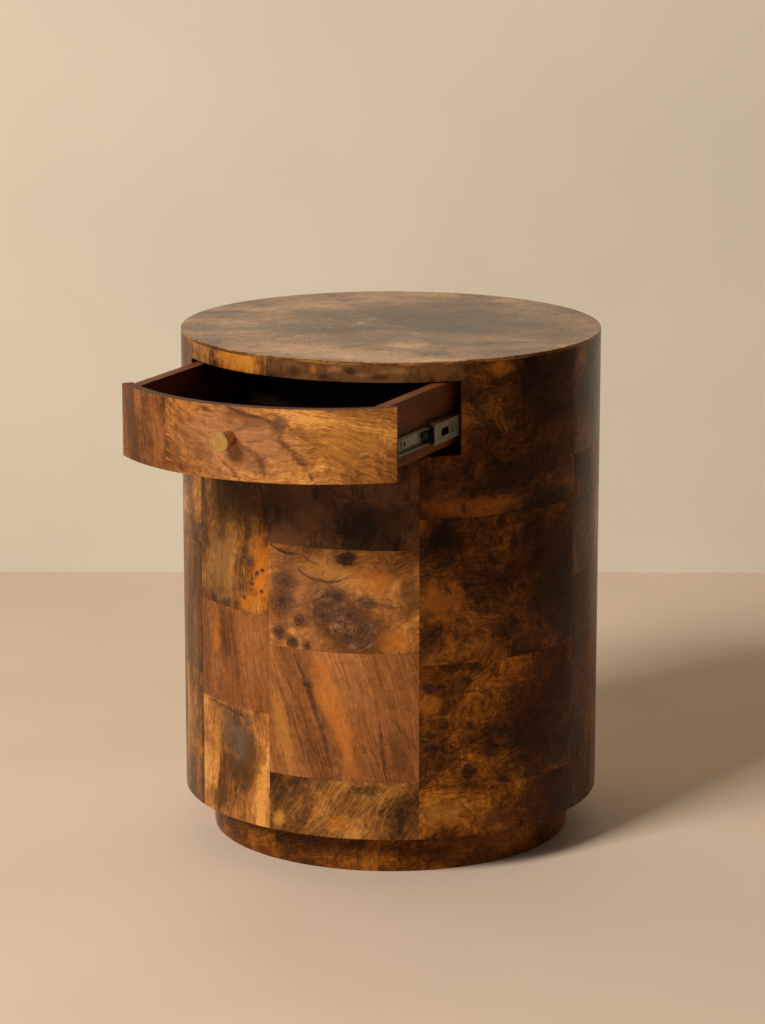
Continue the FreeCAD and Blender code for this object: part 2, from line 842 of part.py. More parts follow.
def slides():
    """Both telescopic slides, each of three members, two ball cages and their balls."""
    fit = size("screw_fit")
    middle_start = f"{SLIDE_FRONT} + Sizes.middle_shorter / 2"
    centre = f"({SLIDE_FRONT} + {SLIDE_BACK}) / 2"
    fixed = screwed_member(cabinet_member(), cabinet_screws(fit), SLIDE_FRONT)
    riding = screwed_member(drawer_member(), drawer_screws(fit), SLIDE_FRONT)
    slide_piece("slide_cabinet", "SlideCabinet", fixed, SLIDE_FRONT, 0)
    slide_piece("slide_middle", "SlideMiddle", middle_member(), middle_start, 0.5)
    slide_piece("slide_drawer", "SlideDrawer", riding, SLIDE_FRONT, 1)
    slide_piece("outer_cage", "OuterCage", ball_cage(outer_row()), centre, 0.25)
    slide_piece("outer_balls", "OuterBalls", balls(outer_row()), centre, 0.25)
    slide_piece("inner_cage", "InnerCage", ball_cage(inner_row()), centre, 0.75)
    slide_piece("inner_balls", "InnerBalls", balls(inner_row()), centre, 0.75)


def release_levers():
    """The levers that free the drawer members, each rocking on a pin in its member."""
    half = "(Sizes.lever_length / 2)"
    tip = f"({half} - Sizes.lever_tip_length)"
    arm = "(Sizes.lever_arm / 2)"
    ear = "(Sizes.lever_tip_height / 2)"
    body = new_body("ReleaseLever")
    outline = sketch_on(body, "LeverOutline", "YZ_Plane")
    polygon(
        outline,
        [
            (f"-{half}", f"-{arm}"),
            (f"-{tip}", f"-{ear}"),
            (f"-{tip}", f"-{arm}"),
            (tip, f"-{arm}"),
            (half, f"-{ear}"),
            (half, ear),
            (tip, arm),
            (f"-{tip}", arm),
            (f"-{tip}", ear),
            (f"-{half}", ear),
        ],
    )
    pad(body, "LeverPad", outline, "Sizes.lever_thickness")
    boss = sketch_on(body, "LeverBossOutline", "YZ_Plane")
    circle(boss, "Sizes.lever_boss / 2")
    pad(body, "LeverBoss", boss, "Sizes.lever_thickness")
    bore = sketch_on(body, "LeverBoreOutline", "YZ_Plane")
    circle(bore, "Sizes.pin_diameter / 2 + Sizes.pin_play")
    pocket(body, "LeverBore", bore, "Sizes.lever_thickness", reverse=True)
    x = f"{SIDE_FACE} + Sizes.slide_sheet + Sizes.lever_gap"
    place(body, x, f"{LEVER_PIVOT} - Sizes.drawer_open", SLIDE_AXIS)
    keep("release_lever_right", body)
    keep("release_lever_left", mirrored("ReleaseLeverLeft", body))


def lever_pins():
    """The headed pins that the release levers rock on."""
    reach = size("lever_thickness") + 2 * size("lever_gap")
    foot = Vector(value(SIDE_FACE) + size("slide_sheet"), value(LEVER_PIVOT), value(SLIDE_AXIS))
    stem = Part.makeCylinder(size("pin_diameter") / 2, reach, foot, ALONG_X)
    head_foot = foot + ALONG_X * reach
    head = Part.makeCylinder(size("pin_head") / 2, size("pin_head_depth"), head_foot, ALONG_X)
    pins = shaped("LeverPins", Part.makeCompound(both_sides([stem.fuse(head)])))
    place(pins, y=DRAWER_SHIFT)
    return keep("lever_pins", pins)


# Drawer


def knob_hole_radius():
    return size("knob_screw_diameter") / 2 + size("knob_hole_fit")


def drawer_front():
    """The bowed front, concentric with the drum, grooved for the bottom and bored for the knob."""
    body = new_body("DrawerFront")
    outline = sketch_on(body, "FrontOutline", "XY_Plane")
    front_sector(outline)
    pad(body, "FrontPad", outline, f"{FRONT_HIGH} - {FRONT_LOW}")
    groove = sketch_on(body, "FrontGrooveOutline", "XY_Plane", f"{BOTTOM_LOW} - {FRONT_LOW}")
    circle(groove, f"{FRONT_HOLLOW} + Sizes.groove_depth + Sizes.groove_fit")
    groove_height = "(Sizes.bottom_board + Sizes.groove_fit)"
    pocket(body, "FrontGroove", groove, groove_height, reverse=True)
    bore = sketch_on(body, "FrontBoreOutline", "XZ_Plane")
    hole_radius = "Sizes.knob_screw_diameter / 2 + Sizes.knob_hole_fit"
    circle(bore, hole_radius, y=f"{KNOB_LEVEL} - {FRONT_LOW}")
    pocket(body, "FrontBore", bore, DRUM_RADIUS, reverse=True)
    place(body, y=DRAWER_SHIFT, z=FRONT_LOW)
    return keep("drawer_front", body)


def front_sector(sketch):
    """The plan of the drawer front: two arcs about the drum's axis, with ends that slope in to the back."""
    arcs = []
    corners = []
    for radius, half in ((CORE_RADIUS, FRONT_HALF), (FRONT_HOLLOW, FRONT_BACK_HALF)):
        reach = math.asin(value(half) / value(radius))
        round_line = Part.Circle(ORIGIN, ALONG_Z, value(radius))
        down = 3 * math.pi / 2
        arc = sketch.addGeometry(Part.ArcOfCircle(round_line, down - reach, down + reach))
        sketch.addConstraint(Sketcher.Constraint("Coincident", arc, 3, -1, 1))
        dimension(sketch, radius, "Radius", arc)
        arcs.append(arc)
        corners.append((value(half), -value(radius) * math.cos(reach)))
    for point, side in ((1, -1), (2, 1)):
        outer_end, inner_end = (Vector(side * x, y, 0) for x, y in corners)
        end_line = sketch.addGeometry(Part.LineSegment(outer_end, inner_end))
        sketch.addConstraint(Sketcher.Constraint("Coincident", arcs[0], point, end_line, 1))
        sketch.addConstraint(Sketcher.Constraint("Coincident", arcs[1], point, end_line, 2))
        dimension(sketch, f"{side} * {FRONT_HALF}", "DistanceX", -1, 1, end_line, 1)
        dimension(sketch, f"{side} * {FRONT_BACK_HALF}", "DistanceX", -1, 1, end_line, 2)


def drawer_sides():
    """The two sides, coped to the front's hollow face and grooved for the bottom."""
    blank = board(
        "DrawerSideBlank", (SIDE_INNER, SIDE_FACE), (f"-{DRUM_RADIUS}", BOX_BACK), (SIDE_LOW, FRONT_HIGH)
    )
    limit = disc("DrawerSideLimit", f"{FRONT_HOLLOW} - Sizes.glue_line", ZERO, "Sizes.overall_height")
    coped = boolean("Common", "DrawerSideCoped", blank, limit)
    groove = board(
        "DrawerSideGroove",
        (ZERO, f"({SIDE_INNER} + Sizes.groove_depth)"),
        (f"-{DRUM_RADIUS}", f"({BOX_BACK} + Sizes.groove_depth)"),
        (BOTTOM_LOW, f"({BOTTOM_HIGH} + Sizes.groove_fit)"),
    )
    grooved = boolean("Cut", "DrawerSideGrooved", coped, groove)
    fit = size("screw_fit")
    holes = shaped("DrawerSideHoles", Part.makeCompound(drawer_screws(fit) + back_screws(fit)))
    right = boolean("Cut", "DrawerSide", grooved, holes)
    place(right, y=DRAWER_SHIFT)
    keep("drawer_side_right", right)
    keep("drawer_side_left", mirrored("DrawerSideLeft", right))


def drawer_back():
    """The back, which stands on the bottom between the sides."""
    half = f"({SIDE_INNER} - Sizes.glue_line)"
    low = f"({BOTTOM_HIGH} + Sizes.groove_fit)"
    blank = board("DrawerBackBlank", (f"-{half}", half), (BACK_FACE, BOX_BACK), (low, FRONT_HIGH))
    holes = shaped("DrawerBackHoles", Part.makeCompound(both_sides(back_screws(size("screw_fit")))))
    back = boolean("Cut", "DrawerBack", blank, holes)
    place(back, y=DRAWER_SHIFT)
    return keep("drawer_back", back)


def drawer_bottom():
    """The bottom, let into the sides and rounded to lie in the front's groove."""
    half = f"({SIDE_INNER} + Sizes.groove_depth - Sizes.groove_fit)"
    low = f"({BOTTOM_LOW} + Sizes.groove_fit / 2)"
    high = f"({BOTTOM_HIGH} + Sizes.groove_fit / 2)"
    blank = board("DrawerBottomBlank", (f"-{half}", half), (f"-{DRUM_RADIUS}", BOX_BACK), (low, high))
    radius = f"{FRONT_HOLLOW} + Sizes.groove_depth - Sizes.groove_fit"
    limit = disc("DrawerBottomLimit", radius, ZERO, "Sizes.overall_height")
    bottom = boolean("Common", "DrawerBottom", blank, limit)
    place(bottom, y=DRAWER_SHIFT)
    return keep("drawer_bottom", bottom)


def knob():
    """The turned brass knob: a thin dished head with an eased rim on a neck that flares to its foot."""
    body = new_body("Knob")
    outline = sketch_on(body, "KnobOutline", "XY_Plane")
    head = "(Sizes.knob_diameter / 2)"
    neck = "(Sizes.knob_neck / 2)"
    foot = "(Sizes.knob_foot / 2)"
    shoulder = "(Sizes.knob_projection - Sizes.knob_head)"
    bore = "(Sizes.knob_screw_diameter / 2 + Sizes.knob_thread_fit)"
    dish = f"({head} - Sizes.knob_rim)"
    dish_floor = "(Sizes.knob_projection - Sizes.knob_dish)"
    polygon(
        outline,
        [
            (bore, ZERO),
            (foot, ZERO),
            (neck, f"({shoulder} - Sizes.knob_edge)"),
            (f"({head} - Sizes.knob_edge)", shoulder),
            (head, f"({shoulder} + Sizes.knob_edge)"),
            (head, "(Sizes.knob_projection - Sizes.knob_edge)"),
            (f"({head} - Sizes.knob_edge)", "Sizes.knob_projection"),
            (dish, "Sizes.knob_projection"),
            (f"({dish} - Sizes.knob_dish)", dish_floor),
            (ZERO, dish_floor),
            (ZERO, "Sizes.knob_bore_depth"),
            (bore, "Sizes.knob_bore_depth"),
        ],
    )
    revolve(body, "KnobTurning", outline)
    body.Placement.Rotation = FreeCAD.Rotation(ALONG_Z, TURN_DEG / 2)
    place(body, y=f"-{DRUM_RADIUS} - Sizes.drawer_open", z=KNOB_LEVEL)
    return keep("knob", body)


def knob_screw():
    """The machine screw that comes through the front from inside the drawer into the knob."""
    body = new_body("KnobScrew")
    outline = sketch_on(body, "KnobScrewOutline", "XY_Plane")
    seat = f"sqrt({FRONT_HOLLOW} ^ 2 - (Sizes.knob_screw_head / 2) ^ 2)"
    shank = "(Sizes.knob_screw_diameter / 2)"
    head = "(Sizes.knob_screw_head / 2)"
    tip = f"({DRUM_RADIUS} + Sizes.knob_bore_depth - Sizes.knob_edge)"
    crown = f"({seat} - Sizes.knob_screw_head_depth)"
    rim = f"({seat} - Sizes.knob_screw_head_depth / 2)"
    polygon(
        outline,
        [
            (ZERO, crown),
            (shank, crown),
            (head, rim),
            (head, seat),
            (shank, seat),
            (shank, tip),
            (ZERO, tip),
        ],
    )
    revolve(body, "KnobScrewTurning", outline)
    body.Placement.Rotation = FreeCAD.Rotation(ALONG_Z, TURN_DEG / 2)
    place(body, y=DRAWER_SHIFT, z=KNOB_LEVEL)
    return keep("knob_screw", body)


def drawer():
    """Every piece of the drawer box."""
    drawer_front()
    front_veneer()
    drawer_sides()
    drawer_back()
    drawer_bottom()
    knob()
    knob_screw()


def check_and_write():
    """Stop on any failed object or unsound shape, then write each sub-part to its file."""
    doc.recompute()
    for item in doc.Objects:
        if {"Invalid", "Error"} & set(item.State):
            raise RuntimeError(f"{item.Label} failed: {item.State}")
    for label, piece in pieces.items():
        if piece.Shape.isNull() or not piece.Shape.isValid():
            raise RuntimeError(f"{label} has no sound shape")
        if not piece.Shape.Solids:
            raise RuntimeError(f"{label} has no solid")
    os.makedirs("parts", exist_ok=True)
    for label, piece in pieces.items():
        piece.Shape.exportStep(os.path.join("parts", f"{label}.step"))
    print(f"{len(pieces)} sub-parts written")


cabinet()
side_veneer()
top_band()
top_veneer()
plinth_veneer()
screw_groups()
slides()
release_levers()
lever_pins()
drawer()
check_and_write()
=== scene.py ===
import math

import bpy
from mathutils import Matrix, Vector


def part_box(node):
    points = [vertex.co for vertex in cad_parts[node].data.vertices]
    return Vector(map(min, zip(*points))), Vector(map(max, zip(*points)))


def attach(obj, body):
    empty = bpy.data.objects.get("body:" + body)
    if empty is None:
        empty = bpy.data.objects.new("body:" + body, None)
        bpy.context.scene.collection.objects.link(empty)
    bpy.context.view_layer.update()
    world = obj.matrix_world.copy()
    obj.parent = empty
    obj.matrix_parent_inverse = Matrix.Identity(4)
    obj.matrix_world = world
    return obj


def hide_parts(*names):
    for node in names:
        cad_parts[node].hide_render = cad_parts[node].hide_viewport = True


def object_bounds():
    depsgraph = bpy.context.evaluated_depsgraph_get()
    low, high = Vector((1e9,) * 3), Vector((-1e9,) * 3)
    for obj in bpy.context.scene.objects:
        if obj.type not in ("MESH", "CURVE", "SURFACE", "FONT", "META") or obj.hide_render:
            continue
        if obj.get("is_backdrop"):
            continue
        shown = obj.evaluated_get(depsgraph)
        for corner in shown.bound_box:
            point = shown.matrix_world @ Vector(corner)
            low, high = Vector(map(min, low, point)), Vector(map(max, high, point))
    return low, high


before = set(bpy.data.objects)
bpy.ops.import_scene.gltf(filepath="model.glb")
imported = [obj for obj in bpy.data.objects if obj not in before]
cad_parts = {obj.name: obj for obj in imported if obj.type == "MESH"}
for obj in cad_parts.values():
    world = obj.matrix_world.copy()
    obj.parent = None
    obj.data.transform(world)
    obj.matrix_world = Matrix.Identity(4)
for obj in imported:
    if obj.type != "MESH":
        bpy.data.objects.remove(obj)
cad_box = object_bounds()

# A drum side table in patchwork veneer. The CAD nodes stay where they are. The veneer leaves are built
# again here, on the same surfaces, so that each leaf has its own figure. Metres, the frame's own axes.

MM = 0.001
DRUM_LOW, DRUM_HIGH = (corner.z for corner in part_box("veneer_column_2"))
TOP_LOW, TOP_HIGH = (corner.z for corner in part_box("top_veneer"))
PLINTH_LOW, PLINTH_HIGH = (corner.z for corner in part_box("plinth_veneer"))
FRONT_LOW, FRONT_HIGH = (corner.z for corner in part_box("drawer_front_veneer"))
BAND_LOW, BAND_HIGH = (corner.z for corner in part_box("top_band"))
DRUM_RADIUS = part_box("top_veneer")[1].x
PLINTH_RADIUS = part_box("plinth_veneer")[1].x
FRONT_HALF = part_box("drawer_front_veneer")[1].x
FRONT_AXIS_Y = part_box("drawer_front_veneer")[0].y + DRUM_RADIUS
VENEER = TOP_HIGH - TOP_LOW
VENEER_AND_GLUE = 1 * MM
CORE_TOP = TOP_HIGH - VENEER_AND_GLUE
FRONT_GAP = 1.5 * MM
OPENING_HALF = FRONT_HALF + FRONT_GAP
OPENING_LOW, OPENING_HIGH = FRONT_LOW - FRONT_GAP, FRONT_HIGH + FRONT_GAP
LEAF_JOINT = 0.075 * MM
EDGE_WIDTH, EDGE_DROP = 0.35 * MM, 0.06 * MM
RIM_ROLL = 0.7 * MM
RIM_STEPS = 4
STEP_DEG = 1.5
TOP_STEP = 25 * MM
SHARP_DEG = 12
QUARTER_TURN = math.pi / 2

# Directions of the veneer's upright joints, in degrees from the drawer's middle, positive towards +X,
# and the heights of its level joints as shares of each column
COLUMN_JOINTS_DEG = (-37.6, -9.3, 32.5, 83.5, 132.5, 180.5, 228.5, 276.5)
PLINTH_JOINTS_DEG = (-52, -14, 21, 66, 113, 158, 205, 262)
FRONT_JOINT_DEG = -20.5
COURSE_SHARES = (
    (0.248, 0.458),
    (0.123, 0.397, 0.614),
    (0.103, 0.371, 0.677),
    (0.190, 0.510, 0.770),
    (0.270, 0.560),
    (0.130, 0.400, 0.690),
    (0.230, 0.480, 0.740),
    (0.290, 0.570),
)


def tone(red, green, blue):
    """A colour written as it looks on a screen, 0 to 255, as Blender's linear colour."""
    shares = (channel / 255 for channel in (red, green, blue))
    linear = [s / 12.92 if s <= 0.04045 else ((s + 0.055) / 1.055) ** 2.4 for s in shares]
    return (*linear, 1.0)


# Darkest, middle, light and brightest tone of each kind of veneer
WOODS = {
    "honey": (tone(80, 45, 18), tone(134, 81, 35), tone(166, 105, 48), tone(206, 142, 70)),
    "russet": (tone(80, 44, 20), tone(126, 74, 35), tone(148, 90, 45), tone(176, 114, 60)),
    "smoke": (tone(22, 11, 6), tone(50, 29, 16), tone(74, 44, 24), tone(108, 68, 38)),
    "amber": (tone(40, 18, 3), tone(92, 48, 9), tone(134, 75, 17), tone(174, 108, 34)),
    "umber": (tone(50, 30, 12), tone(102, 61, 24), tone(142, 90, 38), tone(186, 126, 60)),
    "chestnut": (tone(26, 11, 2), tone(66, 34, 7), tone(102, 55, 14), tone(138, 80, 26)),
    "tobacco": (tone(44, 26, 14), tone(122, 83, 51), tone(158, 113, 74), tone(190, 142, 98)),
}
INK = tone(28, 17, 11)
PLUM = tone(62, 38, 26)
MAUVE = tone(96, 62, 42)
BARK = tone(82, 48, 22)
# EMBER_AND_SHADE colours knots and streaks, and in column 3's wide blots near its right end it is painted
# shade
EMBER_AND_SHADE = tone(48, 22, 8)
OLIVE = tone(70, 46, 15)
SLATE = tone(90, 70, 50)
HAZE = tone(44, 28, 17)
TAUPE = tone(110, 70, 36)
GOLD = tone(200, 134, 54)
FLAME = tone(186, 104, 30)
ROSE = tone(158, 104, 68)
TAN = tone(150, 103, 52)
SAND = tone(198, 152, 110)


class Graph:
    """Makes the nodes of one tree. A socket is linked, and anything else is a socket's own value."""

    def __init__(self, tree):
        self.tree = tree

    def feed(self, socket, value):
        if isinstance(value, bpy.types.NodeSocket):
            self.tree.links.new(value, socket)
        else:
            socket.default_value = value

    def node(self, kind, values=(), **settings):
        made = self.tree.nodes.new(kind)
        for name, setting in settings.items():
            setattr(made, name, setting)
        for key, value in dict(values).items():
            self.feed(made.inputs[key], value)
        return made

    def math(self, operation, first, second=0.0, clamp=False):
        values = {0: first, 1: second}
        return self.node("ShaderNodeMath", values, operation=operation, use_clamp=clamp).outputs[0]

    def vector(self, operation, first, second=(0.0, 0.0, 0.0)):
        values = {0: first, 1: second}
        return self.node("ShaderNodeVectorMath", values, operation=operation).outputs["Vector"]

    def length(self, vector):
        return self.node("ShaderNodeVectorMath", {0: vector}, operation="LENGTH").outputs["Value"]

    def turn(self, vector, angle):
        values = {"Vector": vector, "Angle": angle}
        return self.node("ShaderNodeVectorRotate", values, rotation_type="Z_AXIS").outputs["Vector"]

    def noise(self, vector, rate, detail=2.0, rough=0.5, output="Fac"):
        values = {"Vector": vector, "Scale": rate, "Detail": detail, "Roughness": rough}
        return self.node("ShaderNodeTexNoise", values, noise_dimensions="2D").outputs[output]

    def noise_3d(self, vector, rate, detail=2.0, rough=0.5):
        values = {"Vector": vector, "Scale": rate, "Detail": detail, "Roughness": rough}
        return self.node("ShaderNodeTexNoise", values).outputs["Fac"]

    def swirl(self, vector, rate, reach, detail=1.0):
        """vector, pushed about by up to reach in patches of about 1 / rate across."""
        push = self.noise(vector, rate, detail, output="Color")
        centred = self.vector("SUBTRACT", push, (0.5, 0.5, 0.5))
        return self.vector("ADD", vector, self.vector("MULTIPLY", centred, (2 * reach, 2 * reach, 0.0)))

    def centred(self, value, weight):
        """A noise of 0 to 1 as a change up or down of up to half of weight."""
        return self.math("MULTIPLY", self.math("SUBTRACT", value, 0.5), weight)

    def remap(self, value, low, high, to_low=0.0, to_high=1.0):
        values = {"Value": value, "From Min": low, "From Max": high, "To Min": to_low, "To Max": to_high}
        made = self.node("ShaderNodeMapRange", values, interpolation_type="SMOOTHSTEP")
        return made.outputs["Result"]

    def mix(self, factor, first, second):
        made = self.node("ShaderNodeMix", data_type="RGBA", blend_type="MIX")
        for name, value in (("Factor_Float", factor), ("A_Color", first), ("B_Color", second)):
            socket = next(s for s in made.inputs if s.identifier == name)
            self.feed(socket, value)
        return next(s for s in made.outputs if s.identifier == "Result_Color")

    def ramp(self, value, stops):
        made = self.node("ShaderNodeValToRGB", {"Fac": value})
        elements = made.color_ramp.elements
        for _ in range(len(stops) - len(elements)):
            elements.new(0.5)
        for element, (position, colour) in zip(elements, stops):
            element.position = position
            element.color = colour
        return made.outputs["Color"]

    def bump(self, height, strength, distance):
        values = {"Height": height, "Strength": strength, "Distance": distance}
        return self.node("ShaderNodeBump", values).outputs["Normal"]

    def group(self, group, values):
        made = self.node("ShaderNodeGroup")
        made.node_tree = group
        for key, value in values.items():
            self.feed(made.inputs[key], value)
        return made.outputs[0]


def new_group(name, inputs, output):
    """A node group with those inputs, {name: socket type}, and one number out. Gives its graph and ends."""
    group = bpy.data.node_groups.new(name, "ShaderNodeTree")
    for label, kind in inputs.items():
        group.interface.new_socket(name=label, in_out="INPUT", socket_type=kind)
    group.interface.new_socket(name=output, in_out="OUTPUT", socket_type="NodeSocketFloat")
    graph = Graph(group)
    ins = graph.node("NodeGroupInput").outputs
    out = graph.node("NodeGroupOutput").inputs
    return group, graph, ins, out


def spot_group():
    """How far a place is from an oval's middle, as a share of the oval's own reach there."""
    inputs = {
        "Place": "NodeSocketVector",
        "Centre": "NodeSocketVector",
        "Reach": "NodeSocketVector",
        "Turn": "NodeSocketFloat",
    }
    group, g, ins, out = new_group("figure_spot", inputs, "Distance")
    away = g.turn(g.vector("SUBTRACT", ins["Place"], ins["Centre"]), ins["Turn"])
    g.feed(out[0], g.length(g.vector("DIVIDE", away, ins["Reach"])))
    return group


LEAST_WIDTH = 0.01 * MM


def vein_group():
    """1 on a bowed, tapering streak and 0 away from it."""
    inputs = {
        "Place": "NodeSocketVector",
        "Centre": "NodeSocketVector",
        "Turn": "NodeSocketFloat",
        "Half": "NodeSocketFloat",
        "Bow": "NodeSocketFloat",
        "Width": "NodeSocketFloat",
    }
    group, g, ins, out = new_group("figure_vein", inputs, "Mask")
    away = g.turn(g.vector("SUBTRACT", ins["Place"], ins["Centre"]), ins["Turn"])
    split = g.node("ShaderNodeSeparateXYZ", {0: away}).outputs
    along = g.math("DIVIDE", split["X"], ins["Half"])
    taper = g.math("SUBTRACT", 1.0, g.math("MULTIPLY", along, along), clamp=True)
    aside = g.math("SUBTRACT", split["Y"], g.math("MULTIPLY", taper, ins["Bow"]))
    wide = g.math("MULTIPLY", g.math("SQRT", taper), ins["Width"])
    share = g.math("DIVIDE", g.math("ABSOLUTE", aside), g.math("MAXIMUM", wide, LEAST_WIDTH))
    g.feed(out[0], g.remap(share, 1.0, 0.1))
    return group


SPOT = spot_group()
VEIN = vein_group()


def new_material(name):
    material = bpy.data.materials.new(name)
    material.use_nodes = True
    graph = Graph(material.node_tree)
    shader = material.node_tree.nodes["Principled BSDF"]
    return material, graph, shader


# What a leaf's figure is made of. wood is one of WOODS; grain is the grain's direction, in degrees from
# level; drift and curl push the figure about, in mm; along and across are how often it varies along the
# grain and across it, per metre; rings is how close the dark lines lie; eyes is the share of the figure's
# cells that hold a dark spot; shade is the leaf's mean level between the wood's darkest and brightest
# tones; gloss and polish are the lacquer's specular level and least roughness; seed picks the noise; marks
# are laid over the figure. The rest are strengths, with 0 for none.
PLAIN_LOOK = {
    "wood": "russet",
    "grain": 90,
    "drift": 14,
    "curl": 2,
    "along": 4,
    "across": 34,
    "rings": 7,
    "line": 0.3,
    "band": 0.5,
    "fibre": 0.5,
    "cloud": 0.35,
    "mottle": 0.45,
    "eyes": 0.0,
    "shade": 0.5,
    "gloss": 0.06,
    "polish": 0.24,
    "seed": 0,
    "marks": (),
}
SEED_STEP = (3.17, 5.389)

# How often each noise of a leaf varies, per metre: pairs are along the grain and across it
DRIFT_RATE, CURL_RATE = 9, 40
FIBRE_RATES, FLECK_RATES = (24, 420), (110, 800)
CLOUD_RATE, MOTTLE_RATE = 13, 150
ROUGH_RATE, LUMP_RATE, SPECK_RATE = 90, 85, 330
EYE_RATE = 44.0

# Rate and reach of the swirls that fray the blots and streaks, and of those that fray the knots and burrs
WARP_SWIRLS = ((40, 2.5 * MM), (150, 1.2 * MM))
EDDY_SWIRLS = ((60, 4 * MM), (190, 1.8 * MM))

# How far a strength of 1 moves the tone up and down, and where on that scale the four tones of a wood lie
BAND_SWING, CLOUD_SWING, FIBRE_SWING, MOTTLE_SWING = 1.6, 1.5, 1.3, 1.2
TONE_STOPS = (0.12, 0.45, 0.68, 0.95)

# The lacquer over every leaf
POLISH_SPREAD = 0.12
COAT_WEIGHT, COAT_ROUGHNESS = 0.04, 0.25
LEAF_RELIEF = 0.12 * MM

# Kinds of figure, as changes to the plain look
BURL = {
    "drift": 26, "curl": 10, "along": 17, "across": 24, "rings": 5, "line": 0.35, "band": 0.6, "cloud": 0.8,
    "fibre": 0.35, "mottle": 0.8, "eyes": 0.3,
}
STRAIGHT = {
    "drift": 8, "curl": 1, "along": 3, "across": 30, "rings": 5, "line": 0.22, "cloud": 0.3, "fibre": 0.6,
}
FAN = {
    "drift": 16, "curl": 4, "along": 6, "across": 40, "rings": 4, "line": 0.35, "cloud": 0.8, "band": 0.8,
    "fibre": 0.6, "mottle": 0.6,
}


# Marks on a leaf. Their places and sizes are in mm on the unrolled face, x along the arc from the drawer's
# middle and z up from the floor; on the top x and z are the frame's X and Y. turn is in degrees, bow and
# width are a streak's bend and half width at its middle, and strength is how far a mark hides the wood.
def knot(x, z, reach_x, reach_z, turn=0, strength=0.85, colour=MAUVE):
    return ("knot", colour, x, z, reach_x, reach_z, turn, strength)


def burr(x, z, reach_x, reach_z, turn=0, strength=0.9):
    return ("burr", MAUVE, x, z, reach_x, reach_z, turn, strength)


def blot(colour, x, z, reach_x, reach_z, strength=0.8, turn=0):
    return ("blot", colour, x, z, reach_x, reach_z, turn, strength)


def streak(colour, start, end, bow=0, width=2.0, strength=0.8):
    return ("vein", colour, *start, *end, bow, width, strength)


def spot_distance(g, place, mark):
    x, z, reach_x, reach_z, turn, _ = mark[2:]
    values = {
        "Place": place,
        "Centre": (x * MM, z * MM, 0.0),
        "Reach": (reach_x * MM, reach_z * MM, 1.0),
        "Turn": math.radians(turn),
    }
    return g.group(SPOT, values)


def vein_mask(g, place, mark):
    x0, z0, x1, z1, bow, width, _ = mark[2:]
    values = {
        "Place": place,
        "Centre": ((x0 + x1) / 2 * MM, (z0 + z1) / 2 * MM, 0.0),
        "Turn": -math.atan2(z1 - z0, x1 - x0),
        "Half": math.hypot(x1 - x0, z1 - z0) / 2 * MM,
        "Bow": bow * MM,
        "Width": width * MM,
    }
    return g.group(VEIN, values)


def marked(g, colour, place, noises, mark):
    """colour with one mark over it, frayed and filled by the leaf's noises."""
    kind, over, *_, strength = mark
    rough, lump, speck = noises

    def over_by(mask, top, weight):
        return g.mix(g.math("MULTIPLY", mask, weight * strength), colour, top)

    if kind == "vein":
        frayed = g.math("MULTIPLY", vein_mask(g, place, mark), g.remap(rough, 0.25, 0.6, 0.4, 1.0))
        return over_by(frayed, over, 1.0)
    distance = spot_distance(g, place, mark)
    if kind == "blot":
        frayed = g.math("ADD", distance, g.math("ADD", g.centred(rough, 1.2), g.centred(speck, 0.3)))
        return over_by(g.remap(frayed, 1.3, 0.3), over, 1.0)
    # A knot or a burr: a halo, the body, broken rings and pits, and in a knot a dark heart
    distance = g.math("ADD", distance, g.centred(rough, 0.5))
    winding = g.math("ADD", g.math("MULTIPLY", distance, 2.0), g.centred(lump, 1.4))
    ring = g.remap(g.math("PINGPONG", winding, 0.5), 0.22, 0.48)
    broken = g.math("MULTIPLY", ring, g.remap(rough, 0.36, 0.58, 0.2, 1.0))
    colour = over_by(g.remap(distance, 2.0, 0.9), BARK, 0.5)
    if kind == "burr":
        over = g.mix(g.remap(lump, 0.4, 0.7, 0.0, 0.7), over, ROSE)
    colour = over_by(g.remap(distance, 1.12, 0.82), over, 1.0)
    colour = over_by(g.math("MULTIPLY", g.remap(distance, 1.5, 0.9), broken), INK, 0.7)
    pits = g.math("MULTIPLY", g.remap(distance, 1.0, 0.5), g.remap(speck, 0.5, 0.32))
    colour = over_by(pits, INK, 0.55)
    if kind == "burr":
        return colour
    return over_by(g.remap(g.math("ADD", distance, g.centred(speck, 0.7)), 0.85, 0.1), INK, 0.75)


def swirled(g, place, swirls):
    for rate, reach in swirls:
        place = g.swirl(place, rate, reach)
    return place


